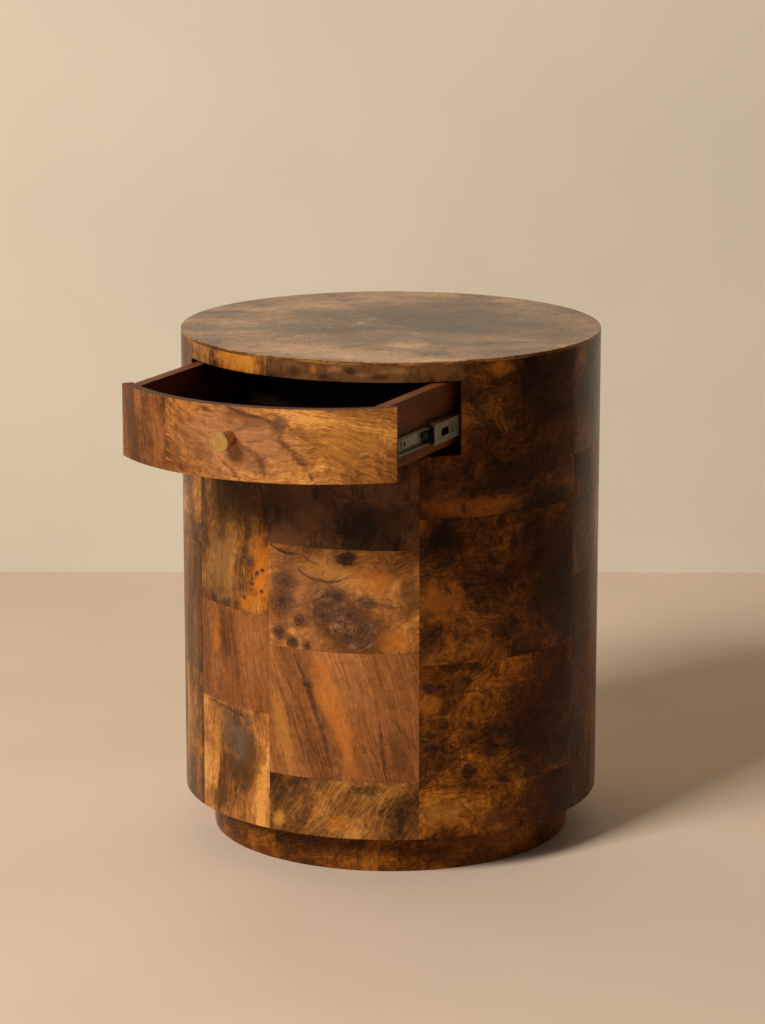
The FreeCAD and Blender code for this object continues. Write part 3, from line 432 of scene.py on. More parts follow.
def veneer(name, **changes):
    """The material of one veneer leaf under satin lacquer."""
    look = {**PLAIN_LOOK, **changes}
    material, g, shader = new_material(name)

    # The leaf's noises
    place = g.node("ShaderNodeAttribute", attribute_name="place").outputs["Vector"]
    seeded = g.vector("ADD", place, (*(look["seed"] * step for step in SEED_STEP), 0.0))
    flow = g.swirl(g.swirl(seeded, DRIFT_RATE, look["drift"] * MM), CURL_RATE, look["curl"] * MM, 2.0)
    turned = g.turn(flow, math.radians(-look["grain"]))
    field = g.noise(g.vector("MULTIPLY", turned, (look["along"], look["across"], 1.0)), 1.0, 2.0, 0.45)
    fibre = g.noise(g.vector("MULTIPLY", turned, (*FIBRE_RATES, 1.0)), 1.0, 3.0, 0.65)
    fleck = g.noise(g.vector("MULTIPLY", turned, (*FLECK_RATES, 1.0)), 1.0, 1.0)
    cloud = g.noise(flow, CLOUD_RATE, 4.0, 0.6)
    mottle = g.noise(flow, MOTTLE_RATE, 4.0, 0.7)
    rough = g.noise(seeded, ROUGH_RATE, 3.0, 0.6)
    lump = g.noise(seeded, LUMP_RATE, 1.0, 0.5)
    speck = g.noise(seeded, SPECK_RATE, 2.0, 0.6)
    noises = (rough, lump, speck)
    warped = swirled(g, place, WARP_SWIRLS)
    eddied = swirled(g, place, EDDY_SWIRLS)

    # The wood's own tone, and blots in it
    level = g.math("ADD", look["shade"], g.centred(field, BAND_SWING * look["band"]))
    level = g.math("ADD", level, g.centred(cloud, CLOUD_SWING * look["cloud"]))
    level = g.math("ADD", level, g.centred(fibre, FIBRE_SWING * look["fibre"]))
    level = g.math("ADD", level, g.centred(mottle, MOTTLE_SWING * look["mottle"]))
    wood = WOODS[look["wood"]]
    dark = wood[0]
    colour = g.ramp(level, tuple(zip(TONE_STOPS, wood)))
    for mark in look["marks"]:
        if mark[0] == "blot":
            colour = marked(g, colour, warped, noises, mark)

    # Dark lines, which crowd round the knots, and eyes
    for mark in look["marks"]:
        if mark[0] in ("knot", "burr"):
            near = g.remap(spot_distance(g, warped, mark), 3.0, 0.2)
            field = g.math("ADD", field, g.math("MULTIPLY", near, 0.35))
    rings = g.math("PINGPONG", g.math("MULTIPLY", field, look["rings"]), 0.5)
    line = g.math("MULTIPLY", g.remap(rings, 0.30, 0.5), g.remap(cloud, 0.66, 0.36, 0.2, 1.0))
    line = g.math("MULTIPLY", line, g.remap(mottle, 0.3, 0.6, 1.0, 0.5))
    colour = g.mix(g.math("MULTIPLY", line, look["line"]), colour, dark)
    if look["eyes"]:
        values = {"Vector": flow, "Scale": EYE_RATE}
        cells = g.node("ShaderNodeTexVoronoi", values, voronoi_dimensions="2D")
        chosen = g.node("ShaderNodeSeparateColor", {0: cells.outputs["Color"]}).outputs[0]
        chosen = g.math("GREATER_THAN", chosen, 1 - look["eyes"])
        away = g.math("ADD", cells.outputs["Distance"], g.centred(speck, 0.35))
        eye = g.math("MULTIPLY", g.remap(away, 0.30, 0.08), chosen)
        colour = g.mix(g.math("MULTIPLY", eye, 0.7), colour, dark)

    # Knots, burrs, streaks and pores
    for mark in look["marks"]:
        if mark[0] != "blot":
            colour = marked(g, colour, warped if mark[0] == "vein" else eddied, noises, mark)
    pore = g.math("MULTIPLY", g.remap(fleck, 0.42, 0.26), 0.5 * look["fibre"])
    colour = g.mix(pore, colour, dark)
    g.feed(shader.inputs["Base Color"], colour)

    # Lacquer and relief
    wear = g.math("ADD", fibre, g.centred(rough, 0.6))
    polish = look["polish"]
    g.feed(shader.inputs["Roughness"], g.remap(wear, 0.2, 0.8, polish, polish + POLISH_SPREAD))
    shader.inputs["Specular IOR Level"].default_value = look["gloss"]
    shader.inputs["Coat Weight"].default_value = COAT_WEIGHT
    shader.inputs["Coat Roughness"].default_value = COAT_ROUGHNESS
    relief = g.math("ADD", g.math("MULTIPLY", fibre, 0.5), g.centred(mottle, 0.6))
    g.feed(shader.inputs["Normal"], g.bump(relief, 0.3, LEAF_RELIEF))
    return material


# Each column's leaves from the floor up
COLUMN_LOOKS = (
    (
        {"wood": "honey", **FAN, "grain": 84, "seed": 1, "shade": 0.54, "marks": (
            blot(GOLD, -48, 80, 9, 36, 0.45), blot(GOLD, -118, 120, 7, 34, 0.4),
            blot(OLIVE, -118, 60, 24, 12, 0.6), blot(SLATE, -78, 132, 25, 38, 0.95),
            blot(PLUM, -84, 160, 18, 12, 0.7), blot(OLIVE, -74, 98, 24, 18, 0.8),
            blot(BARK, -62, 124, 12, 30, 0.6), blot(PLUM, -90, 116, 10, 24, 0.5),
            blot(SLATE, -100, 150, 12, 20, 0.6), streak(PLUM, (-136, 166), (-68, 160), 2, 3, 0.7),
            knot(-74, 83, 6, 6, 0, 0.7))},
        {"wood": "russet", **STRAIGHT, "grain": 100, "seed": 2, "shade": 0.42, "marks": (
            blot(FLAME, -119, 240, 8, 22, 0.45), streak(BARK, (-92, 268), (-80, 185), 3, 6, 0.6))},
        {"wood": "umber", **FAN, "grain": 88, "seed": 3, "band": 0.8, "cloud": 0.9, "shade": 0.42,
         "marks": (
            blot(OLIVE, -95, 400, 40, 44, 0.85), blot(INK, -88, 420, 26, 24, 0.6),
            blot(TAN, -106, 318, 30, 44, 0.6), blot(FLAME, -44, 320, 18, 44, 0.9),
            blot(FLAME, -66, 285, 14, 12, 0.7), blot(FLAME, -78, 540, 34, 14, 0.9),
            blot(GOLD, -78, 540, 30, 12, 0.4), knot(-57, 391, 7, 8, 0, 0.6), knot(-62, 330, 6, 9, 0, 0.6),
            knot(-45, 322, 2.5, 2.5), knot(-52, 318, 2, 2), knot(-58, 306, 3, 2), knot(-70, 292, 3, 2),
            knot(-45, 302, 2, 2))},
    ),
    (
        {"wood": "umber", **FAN, "grain": 52, "seed": 4, "along": 5, "across": 24, "fibre": 0.45,
         "band": 0.65, "shade": 0.43, "marks": (
            blot(INK, 75, 98, 18, 7, 0.6), blot(FLAME, 42, 60, 16, 9, 0.4),
            blot(GOLD, -26, 58, 8, 10, 0.6), streak(GOLD, (80, 56), (98, 104), 3, 1.4, 0.4),
            streak(GOLD, (88, 54), (110, 102), 4, 1.2, 0.3), streak(GOLD, (72, 58), (88, 100), 2, 1, 0.3),
            streak(FLAME, (10, 56), (38, 100), 2, 5, 0.4))},
        {"wood": "russet", **STRAIGHT, "grain": 106, "seed": 5, "marks": (
            blot(FLAME, 38, 180, 14, 66, 0.5, -18), blot(GOLD, -22, 160, 10, 60, 0.3, -16),
            blot(BARK, 108, 135, 16, 32, 0.6), streak(BARK, (8, 205), (46, 100), 7, 9, 0.65),
            streak(PLUM, (-6, 240), (38, 107), 5, 4.5, 0.8),
            streak(BARK, (-30, 220), (-5, 140), 2, 3, 0.5),
            streak(BARK, (-22, 226), (22, 125), 4, 3, 0.65),
            streak(BARK, (-16, 190), (6, 125), 2, 3, 0.5),
            streak(PLUM, (87, 176), (96, 106), -2, 3.5, 0.8),
            streak(BARK, (97, 176), (126, 140), 3, 2.6, 0.7), knot(9, 207, 3, 8, -18, 0.8))},
        {"wood": "honey", **BURL, "grain": 20, "seed": 6, "eyes": 0.0, "cloud": 0.6, "marks": (
            blot(ROSE, 22, 300, 75, 52, 0.4), blot(GOLD, 30, 334, 30, 12, 0.4),
            blot(FLAME, 84, 322, 22, 14, 0.5), blot(FLAME, 100, 258, 22, 12, 0.5),
            blot(BARK, 118, 305, 14, 28, 0.75), blot(BARK, -20, 300, 16, 44, 0.7),
            blot(BARK, 50, 280, 44, 34, 0.7), burr(34, 292, 19, 20), burr(64, 266, 20, 17),
            burr(72, 298, 9, 6), burr(46, 276, 14, 13), knot(51, 345, 12, 8, 0, 0.85, PLUM),
            knot(-23, 260, 8, 8), knot(-7, 252, 6.5, 6.5), knot(11, 250, 5, 5, 0, 0.8),
            knot(-19, 293, 11, 10, 0, 0.8), knot(1, 276, 7, 7, 0, 0.8), knot(-15, 315, 13, 9, 0, 0.6),
            knot(42, 304, 9, 8, 0, 0.7), knot(28, 284, 9, 9, 0, 0.7), knot(56, 284, 8, 7, 0, 0.6),
            knot(70, 270, 9, 9, 0, 0.7), knot(52, 262, 8, 7, 0, 0.7),
            streak(PLUM, (-33, 352), (6, 346), -3, 3, 0.9),
            streak(PLUM, (-2, 331), (54, 326), -9, 3, 0.8), streak(BARK, (4, 345), (26, 338), -2, 3, 0.6),
            streak(PLUM, (76, 300), (108, 296), -2, 3, 0.6))},
        {"wood": "smoke", **FAN, "grain": 84, "seed": 7, "shade": 0.72, "along": 9, "across": 20,
         "band": 0.45, "cloud": 1.3, "fibre": 0.35, "marks": (
            blot(BARK, 0, 410, 44, 34, 0.6), blot(INK, 84, 384, 44, 26, 0.7),
            blot(TAUPE, 70, 540, 66, 13, 0.8), blot(ROSE, 40, 541, 8, 4, 0.6),
            blot(ROSE, 70, 537, 7, 3, 0.5), blot(TAN, 108, 541, 12, 4, 0.6),
            blot(INK, 56, 540, 7, 5, 0.7), blot(INK, 86, 534, 9, 4, 0.6), blot(INK, -4, 536, 8, 6, 0.6),
            blot(INK, 28, 534, 6, 3, 0.6), blot(FLAME, 18, 541, 4, 5, 0.5),
            blot(FLAME, 92, 540, 6, 3, 0.35), knot(20, 412, 4, 8, 0, 0.5, EMBER_AND_SHADE))},
    ),
    # Column 3. Its wide blots at x of 290 to 296 are painted shade, darkening the leaves where the drum
    # turns away from the lamp
    (
        {"wood": "amber", **BURL, "grain": 10, "seed": 8, "eyes": 0.1, "shade": 0.45, "marks": (
            blot(GOLD, 150, 72, 26, 16, 0.3), blot(BARK, 210, 58, 17, 8, 0.7),
            # The blot at x 290 is painted shade
            blot(EMBER_AND_SHADE, 290, 75, 66, 30, 0.7))},
        {"wood": "amber", **BURL, "grain": 15, "seed": 9, "eyes": 0.25, "cloud": 0.5, "shade": 0.4,
         "marks": (
            blot(FLAME, 140, 190, 14, 12, 0.3), blot(INK, 187, 226, 13, 7, 0.6),
            # The blot at x 292 is painted shade
            blot(EMBER_AND_SHADE, 292, 165, 66, 80, 0.7), blot(EMBER_AND_SHADE, 205, 137, 9, 14, 0.9),
            knot(179, 214, 7, 6, 0, 0.6, EMBER_AND_SHADE), knot(138, 208, 6, 6, 0, 0.6, EMBER_AND_SHADE),
            knot(157, 167, 3.5, 4, 0, 0.6, EMBER_AND_SHADE), knot(183, 164, 4, 4, 0, 0.6, EMBER_AND_SHADE),
            knot(140, 157, 4, 5, 0, 0.6, EMBER_AND_SHADE), knot(133, 142, 3, 4, 0, 0.6, EMBER_AND_SHADE),
            knot(182, 115, 9, 8, 0, 0.75, EMBER_AND_SHADE), knot(222, 102, 7, 5, 0, 0.7, EMBER_AND_SHADE),
            streak(INK, (130, 99), (186, 100), 2, 2, 0.7),
            streak(INK, (136, 148), (168, 150), -3, 2, 0.6),
            streak(EMBER_AND_SHADE, (150, 128), (196, 122), 3, 2, 0.7),
            streak(EMBER_AND_SHADE, (150, 200), (205, 196), 4, 2, 0.6))},
        {"wood": "chestnut", **BURL, "grain": 25, "seed": 10, "eyes": 0.2, "marks": (
            blot(INK, 152, 368, 18, 16, 0.8), blot(FLAME, 150, 300, 26, 26, 0.3),
            # The blot at x 292 is painted shade
            blot(EMBER_AND_SHADE, 292, 305, 62, 80, 0.7), knot(218, 378, 5, 6, 0, 0.6, EMBER_AND_SHADE),
            knot(205, 341, 4, 4, 0, 0.6, EMBER_AND_SHADE), knot(233, 353, 6, 9, 0, 0.6, EMBER_AND_SHADE),
            streak(INK, (268, 380), (262, 345), 2, 5, 0.7),
            streak(EMBER_AND_SHADE, (190, 380), (178, 352), 2, 2.5, 0.7),
            streak(EMBER_AND_SHADE, (232, 372), (226, 345), 3, 2.5, 0.7))},
        {"wood": "chestnut", **BURL, "grain": 5, "seed": 11, "eyes": 0.12, "shade": 0.42, "marks": (
            blot(FLAME, 190, 397, 62, 11, 0.4), blot(INK, 165, 428, 38, 20, 0.5),
            # The blot at x 296 is painted shade
            blot(EMBER_AND_SHADE, 296, 470, 60, 90, 0.6), blot(TAUPE, 148, 540, 32, 12, 0.7),
            blot(FLAME, 215, 540, 16, 9, 0.4), blot(EMBER_AND_SHADE, 213, 422, 18, 11, 0.9),
            streak(INK, (172, 440), (184, 428), -3, 2.5, 0.7), knot(221, 506, 4, 5, 0, 0.6, EMBER_AND_SHADE),
            knot(229, 512, 3, 3, 0, 0.6, EMBER_AND_SHADE))},
    ),
    (
        {"wood": "chestnut", **FAN, "grain": 88, "seed": 12},
        {"wood": "chestnut", **STRAIGHT, "grain": 84, "seed": 13, "gloss": 0.09},
        {"wood": "umber", **FAN, "grain": 95, "seed": 14, "shade": 0.34, "gloss": 0.13},
        {"wood": "chestnut", **BURL, "grain": 80, "seed": 15, "gloss": 0.2},
    ),
    (
        {"wood": "honey", **BURL, "grain": 20, "seed": 16},
        {"wood": "russet", **STRAIGHT, "grain": 82, "seed": 17},
        {"wood": "amber", **BURL, "grain": 40, "seed": 18},
    ),
    (
        {"wood": "umber", **FAN, "grain": 60, "seed": 19},
        {"wood": "amber", **BURL, "grain": 10, "seed": 20, "eyes": 0.35},
        {"wood": "honey", **FAN, "grain": 100, "seed": 21},
        {"wood": "smoke", **BURL, "grain": 30, "seed": 22, "shade": 0.55},
    ),
    (
        {"wood": "russet", **STRAIGHT, "grain": 75, "seed": 23},
        {"wood": "chestnut", **BURL, "grain": 15, "seed": 24},
        {"wood": "honey", **BURL, "grain": 70, "seed": 25, "eyes": 0.35},
        {"wood": "umber", **FAN, "grain": 95, "seed": 26},
    ),
    (
        {"wood": "umber", **FAN, "grain": 88, "seed": 27, "cloud": 0.5, "shade": 0.42},
        {"wood": "umber", **STRAIGHT, "grain": 80, "seed": 28, "rings": 8, "line": 0.35, "shade": 0.34},
        {"wood": "umber", **BURL, "grain": 97, "seed": 29, "eyes": 0.1, "shade": 0.42},
    ),
)
SMOKY = {
    "wood": "tobacco", "gloss": 0.2, "polish": 0.2, "drift": 40, "curl": 6, "along": 6, "across": 24,
    "rings": 7, "line": 0.35, "band": 0.55, "cloud": 0.75, "fibre": 0.7, "mottle": 0.55, "marks": (
        blot(HAZE, 25, 45, 125, 95, 0.6), blot(HAZE, -85, 20, 60, 45, 0.5),
        blot(HAZE, -10, 55, 80, 50, 0.8), blot(HAZE, 75, 75, 100, 65, 0.65),
        blot(HAZE, 70, 5, 85, 38, 0.8), blot(HAZE, 165, 40, 70, 70, 0.35),
        blot(HAZE, -62, -50, 70, 62, 0.8), blot(HAZE, -3, -107, 46, 38, 0.6),
        blot(HAZE, 94, -54, 66, 48, 0.65), blot(HAZE, 23, 145, 72, 50, 0.7),
        blot(SAND, 48, -178, 120, 34, 0.5), blot(SAND, -151, -67, 36, 30, 0.4)),
}
TOP_LOOKS = (
    {**SMOKY, "grain": 26, "seed": 31},
    {**SMOKY, "grain": 20, "seed": 32},
    {**SMOKY, "grain": 32, "seed": 33, "shade": 0.54},
    {**SMOKY, "grain": 18, "seed": 34},
)
WAVY = {
    "wood": "honey", "drift": 22, "curl": 5, "along": 6, "across": 24, "rings": 10, "line": 0.55,
    "band": 0.7, "cloud": 0.6, "mottle": 0.7, "fibre": 0.8,
}
FRONT_LOOKS = (
    {"wood": "russet", **FAN, "grain": 96, "seed": 35, "cloud": 0.6, "shade": 0.28, "marks": (
        blot(BARK, -145, 490, 9, 60, 0.7),)},
    {**WAVY, "grain": 168, "seed": 36, "shade": 0.54, "marks": (
        blot(ROSE, 6, 490, 70, 36, 0.75), blot(GOLD, 125, 490, 40, 34, 0.3),
        blot(MAUVE, 7, 521, 14, 6, 0.7), blot(MAUVE, 52, 512, 9, 14, 0.85),
        blot(MAUVE, 28, 514, 16, 8, 0.6), blot(BARK, -30, 478, 16, 10, 0.5),
        blot(BARK, 30, 470, 16, 10, 0.4), streak(PLUM, (20, 520), (52, 508), 3, 4, 0.7),
        streak(PLUM, (48, 498), (85, 456), 5, 6, 0.7), streak(BARK, (11, 492), (38, 458), 5, 5, 0.7),
        streak(BARK, (-10, 472), (12, 454), 2, 4, 0.6), streak(BARK, (-52, 502), (-13, 487), 3, 3, 0.5),
        streak(PLUM, (-4, 529), (32, 519), -2, 4, 0.7), streak(BARK, (58, 514), (98, 492), -5, 3.5, 0.5),
        streak(BARK, (90, 470), (122, 455), 3, 2.5, 0.4))},
)
PLINTH_LOOK = {
    "wood": "amber", **BURL, "grain": 12, "curl": 6, "along": 11, "eyes": 0.0, "band": 0.5, "cloud": 0.7,
    "mottle": 0.6, "shade": 0.52,
}
PLINTH_SEED = 40
BAND_LOOK = {"wood": "umber", **STRAIGHT, "grain": 0, "seed": 50, "shade": 0.48, "cloud": 0.9}


def eased_lines(stretches, step):
    """Lines at each stretch's ends, at its edge width inside them, and at most step apart between those."""
    lines = []
    for start, end, width in stretches:
        span = end - start - 2 * width
        count = max(1, math.ceil(span / step))
        lines += [start, *(start + width + span * i / count for i in range(count + 1))]
    return [*lines, stretches[-1][1]]


def spans(bounds, width):
    return [(start, end, width) for start, end in zip(bounds, bounds[1:])]


class Leaves:
    """The mesh of one piece of veneer: closed thin leaves, each with its own material."""

    def __init__(self):
        self.points, self.places, self.faces, self.slots = [], [], [], []

    def add(self, lines_a, lines_b, kept, surface, place, slot):
        """Adds one leaf: the cells of the grid that kept holds true, with a lower edge all round."""
        cells = set()
        for i, (a0, a1) in enumerate(zip(lines_a, lines_a[1:])):
            for j, (b0, b1) in enumerate(zip(lines_b, lines_b[1:])):
                if kept((a0 + a1) / 2, (b0 + b1) / 2):
                    cells.add((i, j))
        skins = {}

        def corner(i, j, back):
            key = (i, j, back)
            if key not in skins:
                around = [(i - 1, j - 1), (i, j - 1), (i - 1, j), (i, j)]
                depth = 0 if all(cell in cells for cell in around) else EDGE_DROP
                a, b = lines_a[i], lines_b[j]
                skins[key] = len(self.points)
                self.points.append(surface(a, b, VENEER if back else depth))
                self.places.append(place(a, b))
            return skins[key]

        def face(*corners):
            self.faces.append([corner(*c) for c in corners])
            self.slots.append(slot)

        for i, j in sorted(cells):
            face((i, j, 0), (i + 1, j, 0), (i + 1, j + 1, 0), (i, j + 1, 0))
            face((i, j, 1), (i, j + 1, 1), (i + 1, j + 1, 1), (i + 1, j, 1))
            edges = {
                (i, j - 1): ((i, j), (i + 1, j)),
                (i + 1, j): ((i + 1, j), (i + 1, j + 1)),
                (i, j + 1): ((i + 1, j + 1), (i, j + 1)),
                (i - 1, j): ((i, j + 1), (i, j)),
            }
            for beside, (start, end) in edges.items():
                if beside not in cells:
                    face((*start, 1), (*end, 1), (*end, 0), (*start, 0))

    def piece(self, name, materials, body, node):
        mesh = bpy.data.meshes.new(name)
        mesh.from_pydata(self.points, [], self.faces)
        for material in materials:
            mesh.materials.append(material)
        mesh.polygons.foreach_set("material_index", self.slots)
        mesh.polygons.foreach_set("use_smooth", [True] * len(self.faces))
        layer = mesh.attributes.new("place", "FLOAT_VECTOR", "POINT")
        layer.data.foreach_set("vector", [number for place in self.places for number in place])
        mesh.set_sharp_from_angle(angle=math.radians(SHARP_DEG))
        made = bpy.data.objects.new(name, mesh)
        bpy.context.scene.collection.objects.link(made)
        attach(made, body)
        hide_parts(node)


def round_wall(radius, axis_y=0.0):
    """The surface of an upright round wall, and its unrolled places."""

    def surface(angle, height, depth):
        reach = radius - depth
        return (reach * math.sin(angle), axis_y - reach * math.cos(angle), height)

    def place(angle, height):
        return (radius * angle, height, 0.0)

    return surface, place


def arc_lines(bounds, radius):
    return eased_lines(spans(bounds, EDGE_WIDTH / radius), math.radians(STEP_DEG))


def height_lines(bounds):
    return eased_lines(spans(bounds, EDGE_WIDTH), math.inf)


def turns(joints_deg):
    """Start and end of each column of leaves, in radians, from joint to joint."""
    ends = (*joints_deg[1:], joints_deg[0] + 360)
    return [(math.radians(start), math.radians(end)) for start, end in zip(joints_deg, ends)]


def drum_columns():
    surface, place = round_wall(DRUM_RADIUS)
    gap = LEAF_JOINT / DRUM_RADIUS
    jamb = math.asin(OPENING_HALF / DRUM_RADIUS)
    columns = zip(turns(COLUMN_JOINTS_DEG), COURSE_SHARES, COLUMN_LOOKS)
    for number, (ends, shares, looks) in enumerate(columns, 1):
        start, end = ends[0] + gap, ends[1] - gap
        middle = math.tau * round((start + end) / 2 / math.tau)
        jambs = [edge for edge in (middle - jamb, middle + jamb) if start < edge < end]
        levels = [DRUM_LOW, *(DRUM_LOW + share * (CORE_TOP - DRUM_LOW) for share in shares), DRUM_HIGH]

        def kept(angle, height):
            inside = abs(angle - middle) < jamb and OPENING_LOW < height < OPENING_HIGH
            return not inside

        leaves = Leaves()
        materials = []
        lines_a = arc_lines([start, *jambs, end], DRUM_RADIUS)
        for course, (low, high) in enumerate(zip(levels, levels[1:])):
            low += LEAF_JOINT if course else 0
            high -= LEAF_JOINT if course < len(shares) else 0
            sills = [edge for edge in (OPENING_LOW, OPENING_HIGH) if low < edge < high]
            leaves.add(lines_a, height_lines([low, *sills, high]), kept, surface, place, course)
            materials.append(veneer(f"veneer_{number}_{course + 1}", **looks[course]))
        node = f"veneer_column_{number}"
        leaves.piece(f"figured_column_{number}", materials, "cabinet", node)


def everywhere(*_):
    return True


def table_top():
    def surface(radius, angle, depth):
        roll = max(0.0, radius - (DRUM_RADIUS - RIM_ROLL))
        drop = RIM_ROLL - math.sqrt(max(0.0, RIM_ROLL**2 - roll**2))
        height = TOP_HIGH - max(drop, depth)
        return (radius * math.cos(angle), radius * math.sin(angle), height)

    def place(radius, angle):
        return (radius * math.cos(angle), radius * math.sin(angle), 0.0)

    flat = eased_lines([(LEAF_JOINT, DRUM_RADIUS - RIM_ROLL, EDGE_WIDTH)], TOP_STEP)
    rolls = [QUARTER_TURN * i / RIM_STEPS for i in range(1, RIM_STEPS + 1)]
    rim = [DRUM_RADIUS - RIM_ROLL * (1 - math.sin(angle)) for angle in rolls]
    gap = LEAF_JOINT / DRUM_RADIUS
    leaves = Leaves()
    for quarter in range(len(TOP_LOOKS)):
        bounds = [(quarter + 0.5) * QUARTER_TURN + gap, (quarter + 1.5) * QUARTER_TURN - gap]
        leaves.add([*flat, *rim], arc_lines(bounds, DRUM_RADIUS), everywhere, surface, place, quarter)
    materials = [veneer(f"top_veneer_{i}", **look) for i, look in enumerate(TOP_LOOKS, 1)]
    leaves.piece("figured_top", materials, "cabinet", "top_veneer")


def drawer_leaves():
    surface, place = round_wall(DRUM_RADIUS, FRONT_AXIS_Y)
    gap = LEAF_JOINT / DRUM_RADIUS
    reach = math.asin(FRONT_HALF / DRUM_RADIUS)
    joint = math.radians(FRONT_JOINT_DEG)
    leaves = Leaves()
    for slot, bounds in enumerate(([-reach, joint - gap], [joint + gap, reach])):
        lines_b = height_lines([FRONT_LOW, FRONT_HIGH])
        leaves.add(arc_lines(bounds, DRUM_RADIUS), lines_b, everywhere, surface, place, slot)
    materials = [veneer(f"front_veneer_{i}", **look) for i, look in enumerate(FRONT_LOOKS, 1)]
    leaves.piece("figured_front", materials, "drawer", "drawer_front_veneer")


def plinth_leaves():
    surface, place = round_wall(PLINTH_RADIUS)
    gap = LEAF_JOINT / PLINTH_RADIUS
    leaves = Leaves()
    materials = []
    for slot, (start, end) in enumerate(turns(PLINTH_JOINTS_DEG)):
        lines_a = arc_lines([start + gap, end - gap], PLINTH_RADIUS)
        leaves.add(lines_a, height_lines([PLINTH_LOW, PLINTH_HIGH]), everywhere, surface, place, slot)
        materials.append(veneer(f"plinth_veneer_{slot + 1}", **PLINTH_LOOK, seed=PLINTH_SEED + slot))
    leaves.piece("figured_plinth", materials, "cabinet", "plinth_veneer")


def edge_band():
    surface, place = round_wall(DRUM_RADIUS)
    gap = LEAF_JOINT / DRUM_RADIUS
    leaves = Leaves()
    lines_a = arc_lines([math.pi + gap, 3 * math.pi - gap], DRUM_RADIUS)
    leaves.add(lines_a, height_lines([BAND_LOW, BAND_HIGH]), everywhere, surface, place, 0)
    materials = [veneer("edge_band_veneer", **BAND_LOOK)]
    leaves.piece("figured_band", materials, "cabinet", "top_band")


drum_columns()
edge_band()
table_top()
drawer_leaves()
plinth_leaves()


# The other materials: how often their noises vary, per metre, how deep their relief is, and their tones
BOARD_PATCH_RATE, METAL_PATCH_RATE, BRASS_PATCH_RATE, PLASTIC_GRAIN_RATE = 14, 130, 120, 1800
BRASS_RING_RATE = 3600
BOARD_RELIEF, METAL_RELIEF, PLASTIC_RELIEF, BRASS_RELIEF = 0.15 * MM, 0.05 * MM, 0.05 * MM, 0.04 * MM
GRAIN_SHARE, PATCH_SHARE = 0.7, 0.3
BOARD_GLOSS = 0.12
BRASS_LIGHT, BRASS_DEEP = tone(194, 156, 92), tone(178, 139, 80)
PLASTIC_SHEEN = tone(34, 34, 34)


def object_place(g):
    return g.node("ShaderNodeTexCoord").outputs["Object"]


def stained_board(name, dark, light, stretch, roughness):
    """Stained wood board with its grain along the axis that stretch makes slow."""
    material, g, shader = new_material(name)
    place = object_place(g)
    grain = g.noise_3d(g.vector("MULTIPLY", place, stretch), 1.0, 4.0, 0.6)
    patch = g.noise_3d(place, BOARD_PATCH_RATE, 3.0)
    level = g.math("ADD", g.math("MULTIPLY", grain, GRAIN_SHARE), g.math("MULTIPLY", patch, PATCH_SHARE))
    g.feed(shader.inputs["Base Color"], g.ramp(level, ((0.34, dark), (0.66, light))))
    g.feed(shader.inputs["Roughness"], g.remap(grain, 0.3, 0.7, roughness, roughness + 0.15))
    shader.inputs["Specular IOR Level"].default_value = BOARD_GLOSS
    g.feed(shader.inputs["Normal"], g.bump(grain, 0.3, BOARD_RELIEF))
    return material


def rolled_steel(name, colour, dull, roughness, stretch):
    """Plated or rolled steel, with drawing lines along the axis that stretch makes slow."""
    material, g, shader = new_material(name)
    place = object_place(g)
    drawn = g.noise_3d(g.vector("MULTIPLY", place, stretch), 1.0, 3.0, 0.6)
    patch = g.noise_3d(place, METAL_PATCH_RATE, 3.0, 0.6)
    g.feed(shader.inputs["Base Color"], g.mix(g.remap(patch, 0.3, 0.7), colour, dull))
    shader.inputs["Metallic"].default_value = 1.0
    mixed = g.math("ADD", g.math("MULTIPLY", drawn, 0.5), g.math("MULTIPLY", patch, 0.5))
    g.feed(shader.inputs["Roughness"], g.remap(mixed, 0.3, 0.7, roughness, roughness + 0.16))
    g.feed(shader.inputs["Normal"], g.bump(drawn, 0.15, METAL_RELIEF))
    return material


def moulded_plastic(name, colour):
    material, g, shader = new_material(name)
    grain = g.noise_3d(object_place(g), PLASTIC_GRAIN_RATE, 2.0)
    g.feed(shader.inputs["Base Color"], g.mix(g.remap(grain, 0.3, 0.7), colour, PLASTIC_SHEEN))
    g.feed(shader.inputs["Roughness"], g.remap(grain, 0.3, 0.7, 0.42, 0.58))
    g.feed(shader.inputs["Normal"], g.bump(grain, 0.2, PLASTIC_RELIEF))
    return material


def satin_brass(name):
    """Turned brass: fine rings about the knob's axis."""
    material, g, shader = new_material(name)
    low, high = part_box("knob")
    middle = (low + high) / 2
    away = g.vector("SUBTRACT", object_place(g), (middle.x, 0.0, middle.z))
    radius = g.length(g.vector("MULTIPLY", away, (1.0, 0.0, 1.0)))
    values = {"W": g.math("MULTIPLY", radius, BRASS_RING_RATE), "Detail": 2.0}
    rings = g.node("ShaderNodeTexNoise", values, noise_dimensions="1D").outputs["Fac"]
    patch = g.noise_3d(object_place(g), BRASS_PATCH_RATE, 3.0)
    g.feed(shader.inputs["Base Color"], g.mix(g.remap(patch, 0.3, 0.7), BRASS_LIGHT, BRASS_DEEP))
    shader.inputs["Metallic"].default_value = 1.0
    g.feed(shader.inputs["Roughness"], g.remap(rings, 0.3, 0.7, 0.34, 0.46))
    g.feed(shader.inputs["Normal"], g.bump(rings, 0.12, BRASS_RELIEF))
    return material


ALONG_X, ALONG_Y, ALONG_Z = (12, 240, 240), (240, 12, 240), (240, 240, 12)
DRAWN_Y, EVEN = (500, 20, 500), (300, 300, 300)
CORE = stained_board("stained_core", tone(46, 26, 16), tone(86, 52, 32), ALONG_Z, 0.55)
DRAWER_SIDE = stained_board("drawer_side_stain", tone(70, 34, 12), tone(122, 66, 28), ALONG_Y, 0.45)
DRAWER_CROSS = stained_board("drawer_cross_stain", tone(60, 30, 14), tone(100, 56, 28), ALONG_X, 0.45)
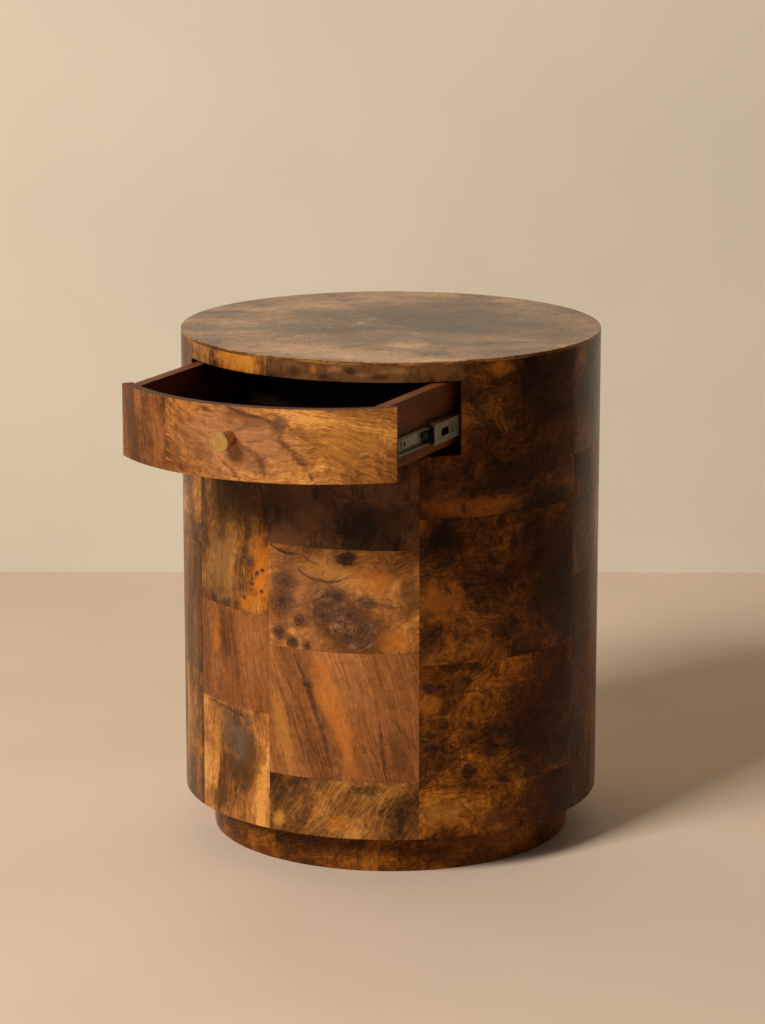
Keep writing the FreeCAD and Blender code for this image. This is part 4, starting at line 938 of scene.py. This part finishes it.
# The drawer's bottom and back: a stain kept nearly black, darker than the sides, which is painted shade for
# the drawer's inside
DRAWER_FLOOR_AND_SHADE = stained_board("drawer_floor_stain_and_shade", tone(26, 12, 6), tone(46, 24, 13), ALONG_X, 0.5)
ZINC = rolled_steel("zinc_plate", tone(150, 146, 128), tone(116, 113, 98), 0.34, DRAWN_Y)
SCREW = rolled_steel("screw_zinc", tone(170, 168, 156), tone(130, 129, 120), 0.34, EVEN)
BALL = rolled_steel("ball_polish", tone(205, 205, 206), tone(188, 188, 190), 0.12, EVEN)
STRIP = rolled_steel("cage_plate", tone(150, 150, 146), tone(122, 122, 118), 0.36, DRAWN_Y)
BLACK = moulded_plastic("black_plastic_grain", tone(18, 18, 18))
BRASS = satin_brass("satin_brass_turned")

NODE_MATERIALS = {
    "drum_shell": CORE,
    "top_panel": CORE,
    "bottom_panel": CORE,
    "drawer_deck": CORE,
    "slide_panel": CORE,
    "bay_back": CORE,
    "plinth_ring": CORE,
    "plinth_blocks": CORE,
    "drawer_front": DRAWER_CROSS,
    "drawer_side": DRAWER_SIDE,
    # The drawer's back and bottom get the near-black stain, which is painted shade
    "drawer_back": DRAWER_FLOOR_AND_SHADE,
    "drawer_bottom": DRAWER_FLOOR_AND_SHADE,
    "slide_cabinet": ZINC,
    "slide_middle": ZINC,
    "slide_drawer": ZINC,
    "cabinet_slide_screws": SCREW,
    "drawer_slide_screws": SCREW,
    "drawer_back_screws": SCREW,
    "knob_screw": SCREW,
    "lever_pins": SCREW,
    "outer_balls": BALL,
    "inner_balls": BALL,
    "outer_cage": STRIP,
    "inner_cage": STRIP,
    "release_lever": BLACK,
    "knob": BRASS,
}


def plain_name(node):
    return node.removesuffix("_left").removesuffix("_right")


for node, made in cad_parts.items():
    material = NODE_MATERIALS.get(plain_name(node))
    if material is None:
        continue
    made.data.materials.clear()
    made.data.materials.append(material)

# Stage: a plain pale floor and a plain wall behind, whose back lets the view through
VIEW_DEG = 25
WALL_AWAY = 1.12
FLOOR_HALF = 40.0
WALL_HALF, WALL_HEIGHT = 40.0, 5.0
FLOOR_TONE = tone(214, 189, 164)
WALL_TONE = tone(211, 199, 175)
STAGE_PATCH_RATE, STAGE_PATCH_TONE = 2.5, 0.94
STAGE_ROUGHNESS, STAGE_GLOSS = 0.6, 0.3


def stage_plane(name, corners, colour, see_through_back):
    mesh = bpy.data.meshes.new(name)
    mesh.from_pydata(corners, [], [(0, 1, 2, 3)])
    material, g, shader = new_material(name)
    shade = g.noise_3d(object_place(g), STAGE_PATCH_RATE, 2.0)
    deeper = (*(channel * STAGE_PATCH_TONE for channel in colour[:3]), 1.0)
    g.feed(shader.inputs["Base Color"], g.mix(g.remap(shade, 0.3, 0.7), colour, deeper))
    shader.inputs["Roughness"].default_value = STAGE_ROUGHNESS
    shader.inputs["Specular IOR Level"].default_value = STAGE_GLOSS
    if see_through_back:
        clear = g.node("ShaderNodeBsdfTransparent").outputs["BSDF"]
        back = g.node("ShaderNodeNewGeometry").outputs["Backfacing"]
        choice = g.node("ShaderNodeMixShader", {0: back, 1: shader.outputs["BSDF"], 2: clear})
        output = material.node_tree.nodes["Material Output"]
        g.feed(output.inputs["Surface"], choice.outputs["Shader"])
    mesh.materials.append(material)
    made = bpy.data.objects.new(name, mesh)
    bpy.context.scene.collection.objects.link(made)
    made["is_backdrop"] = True


toward = Vector((math.sin(math.radians(VIEW_DEG)), -math.cos(math.radians(VIEW_DEG)), 0.0))
across = Vector((-toward.y, toward.x, 0.0))
foot = -toward * WALL_AWAY
up = Vector((0.0, 0.0, WALL_HEIGHT))
signs = ((-1, -1), (1, -1), (1, 1), (-1, 1))
floor_corners = [(x * FLOOR_HALF, y * FLOOR_HALF, 0) for x, y in signs]
left_foot, right_foot = foot - across * WALL_HALF, foot + across * WALL_HALF
stage_plane("floor", floor_corners, FLOOR_TONE, False)
stage_plane("wall", [left_foot, right_foot, right_foot + up, left_foot + up], WALL_TONE, True)


LAMP_AIM = Vector((0.0, 0.0, 0.3))


def lamp(name, turn_deg, rise_deg, away, size, watts, colour):
    """A square lamp aimed near the table's middle. turn_deg is from the drawer's middle towards +X."""
    data = bpy.data.lights.new(name, "AREA")
    data.size = size
    data.energy = watts
    data.color = colour
    made = bpy.data.objects.new(name, data)
    turn, rise = math.radians(turn_deg), math.radians(rise_deg)
    offset = Vector((math.sin(turn) * math.cos(rise), -math.cos(turn) * math.cos(rise), math.sin(rise)))
    made.location = LAMP_AIM + offset * away
    made.rotation_euler = (-offset).to_track_quat("-Z", "Y").to_euler()
    bpy.context.scene.collection.objects.link(made)


lamp("key", turn_deg=-18, rise_deg=35, away=7.5, size=2.2, watts=664, colour=(1.0, 0.98, 0.955))

ROOM_COLOUR, ROOM_STRENGTH = (1.0, 0.97, 0.93, 1.0), 0.1
world = bpy.data.worlds.new("room")
bpy.context.scene.world = world
world.use_nodes = True
sky = world.node_tree.nodes["Background"]
sky.inputs["Color"].default_value = ROOM_COLOUR
sky.inputs["Strength"].default_value = ROOM_STRENGTH

# The camera, at the photograph's viewing angle
CAMERA_PLACE = Vector((1.5286, -3.2780, 1.1696))
CAMERA_AIM = Vector((-0.0082, -0.0038, 0.3439))
SENSOR_MM, LENS_MM = 36, 120.13
lens = bpy.data.cameras.new("camera")
lens.sensor_width = SENSOR_MM
lens.lens = LENS_MM
camera = bpy.data.objects.new("camera", lens)
camera.location = CAMERA_PLACE
camera.rotation_euler = (CAMERA_AIM - CAMERA_PLACE).to_track_quat("-Z", "Y").to_euler()
bpy.context.scene.collection.objects.link(camera)
bpy.context.scene.camera = camera
bpy.context.scene.view_settings.view_transform = "Standard"

boxes = {"cad": cad_box, "visual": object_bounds()}
{name: [list(corner) for corner in corners] for name, corners in boxes.items()}
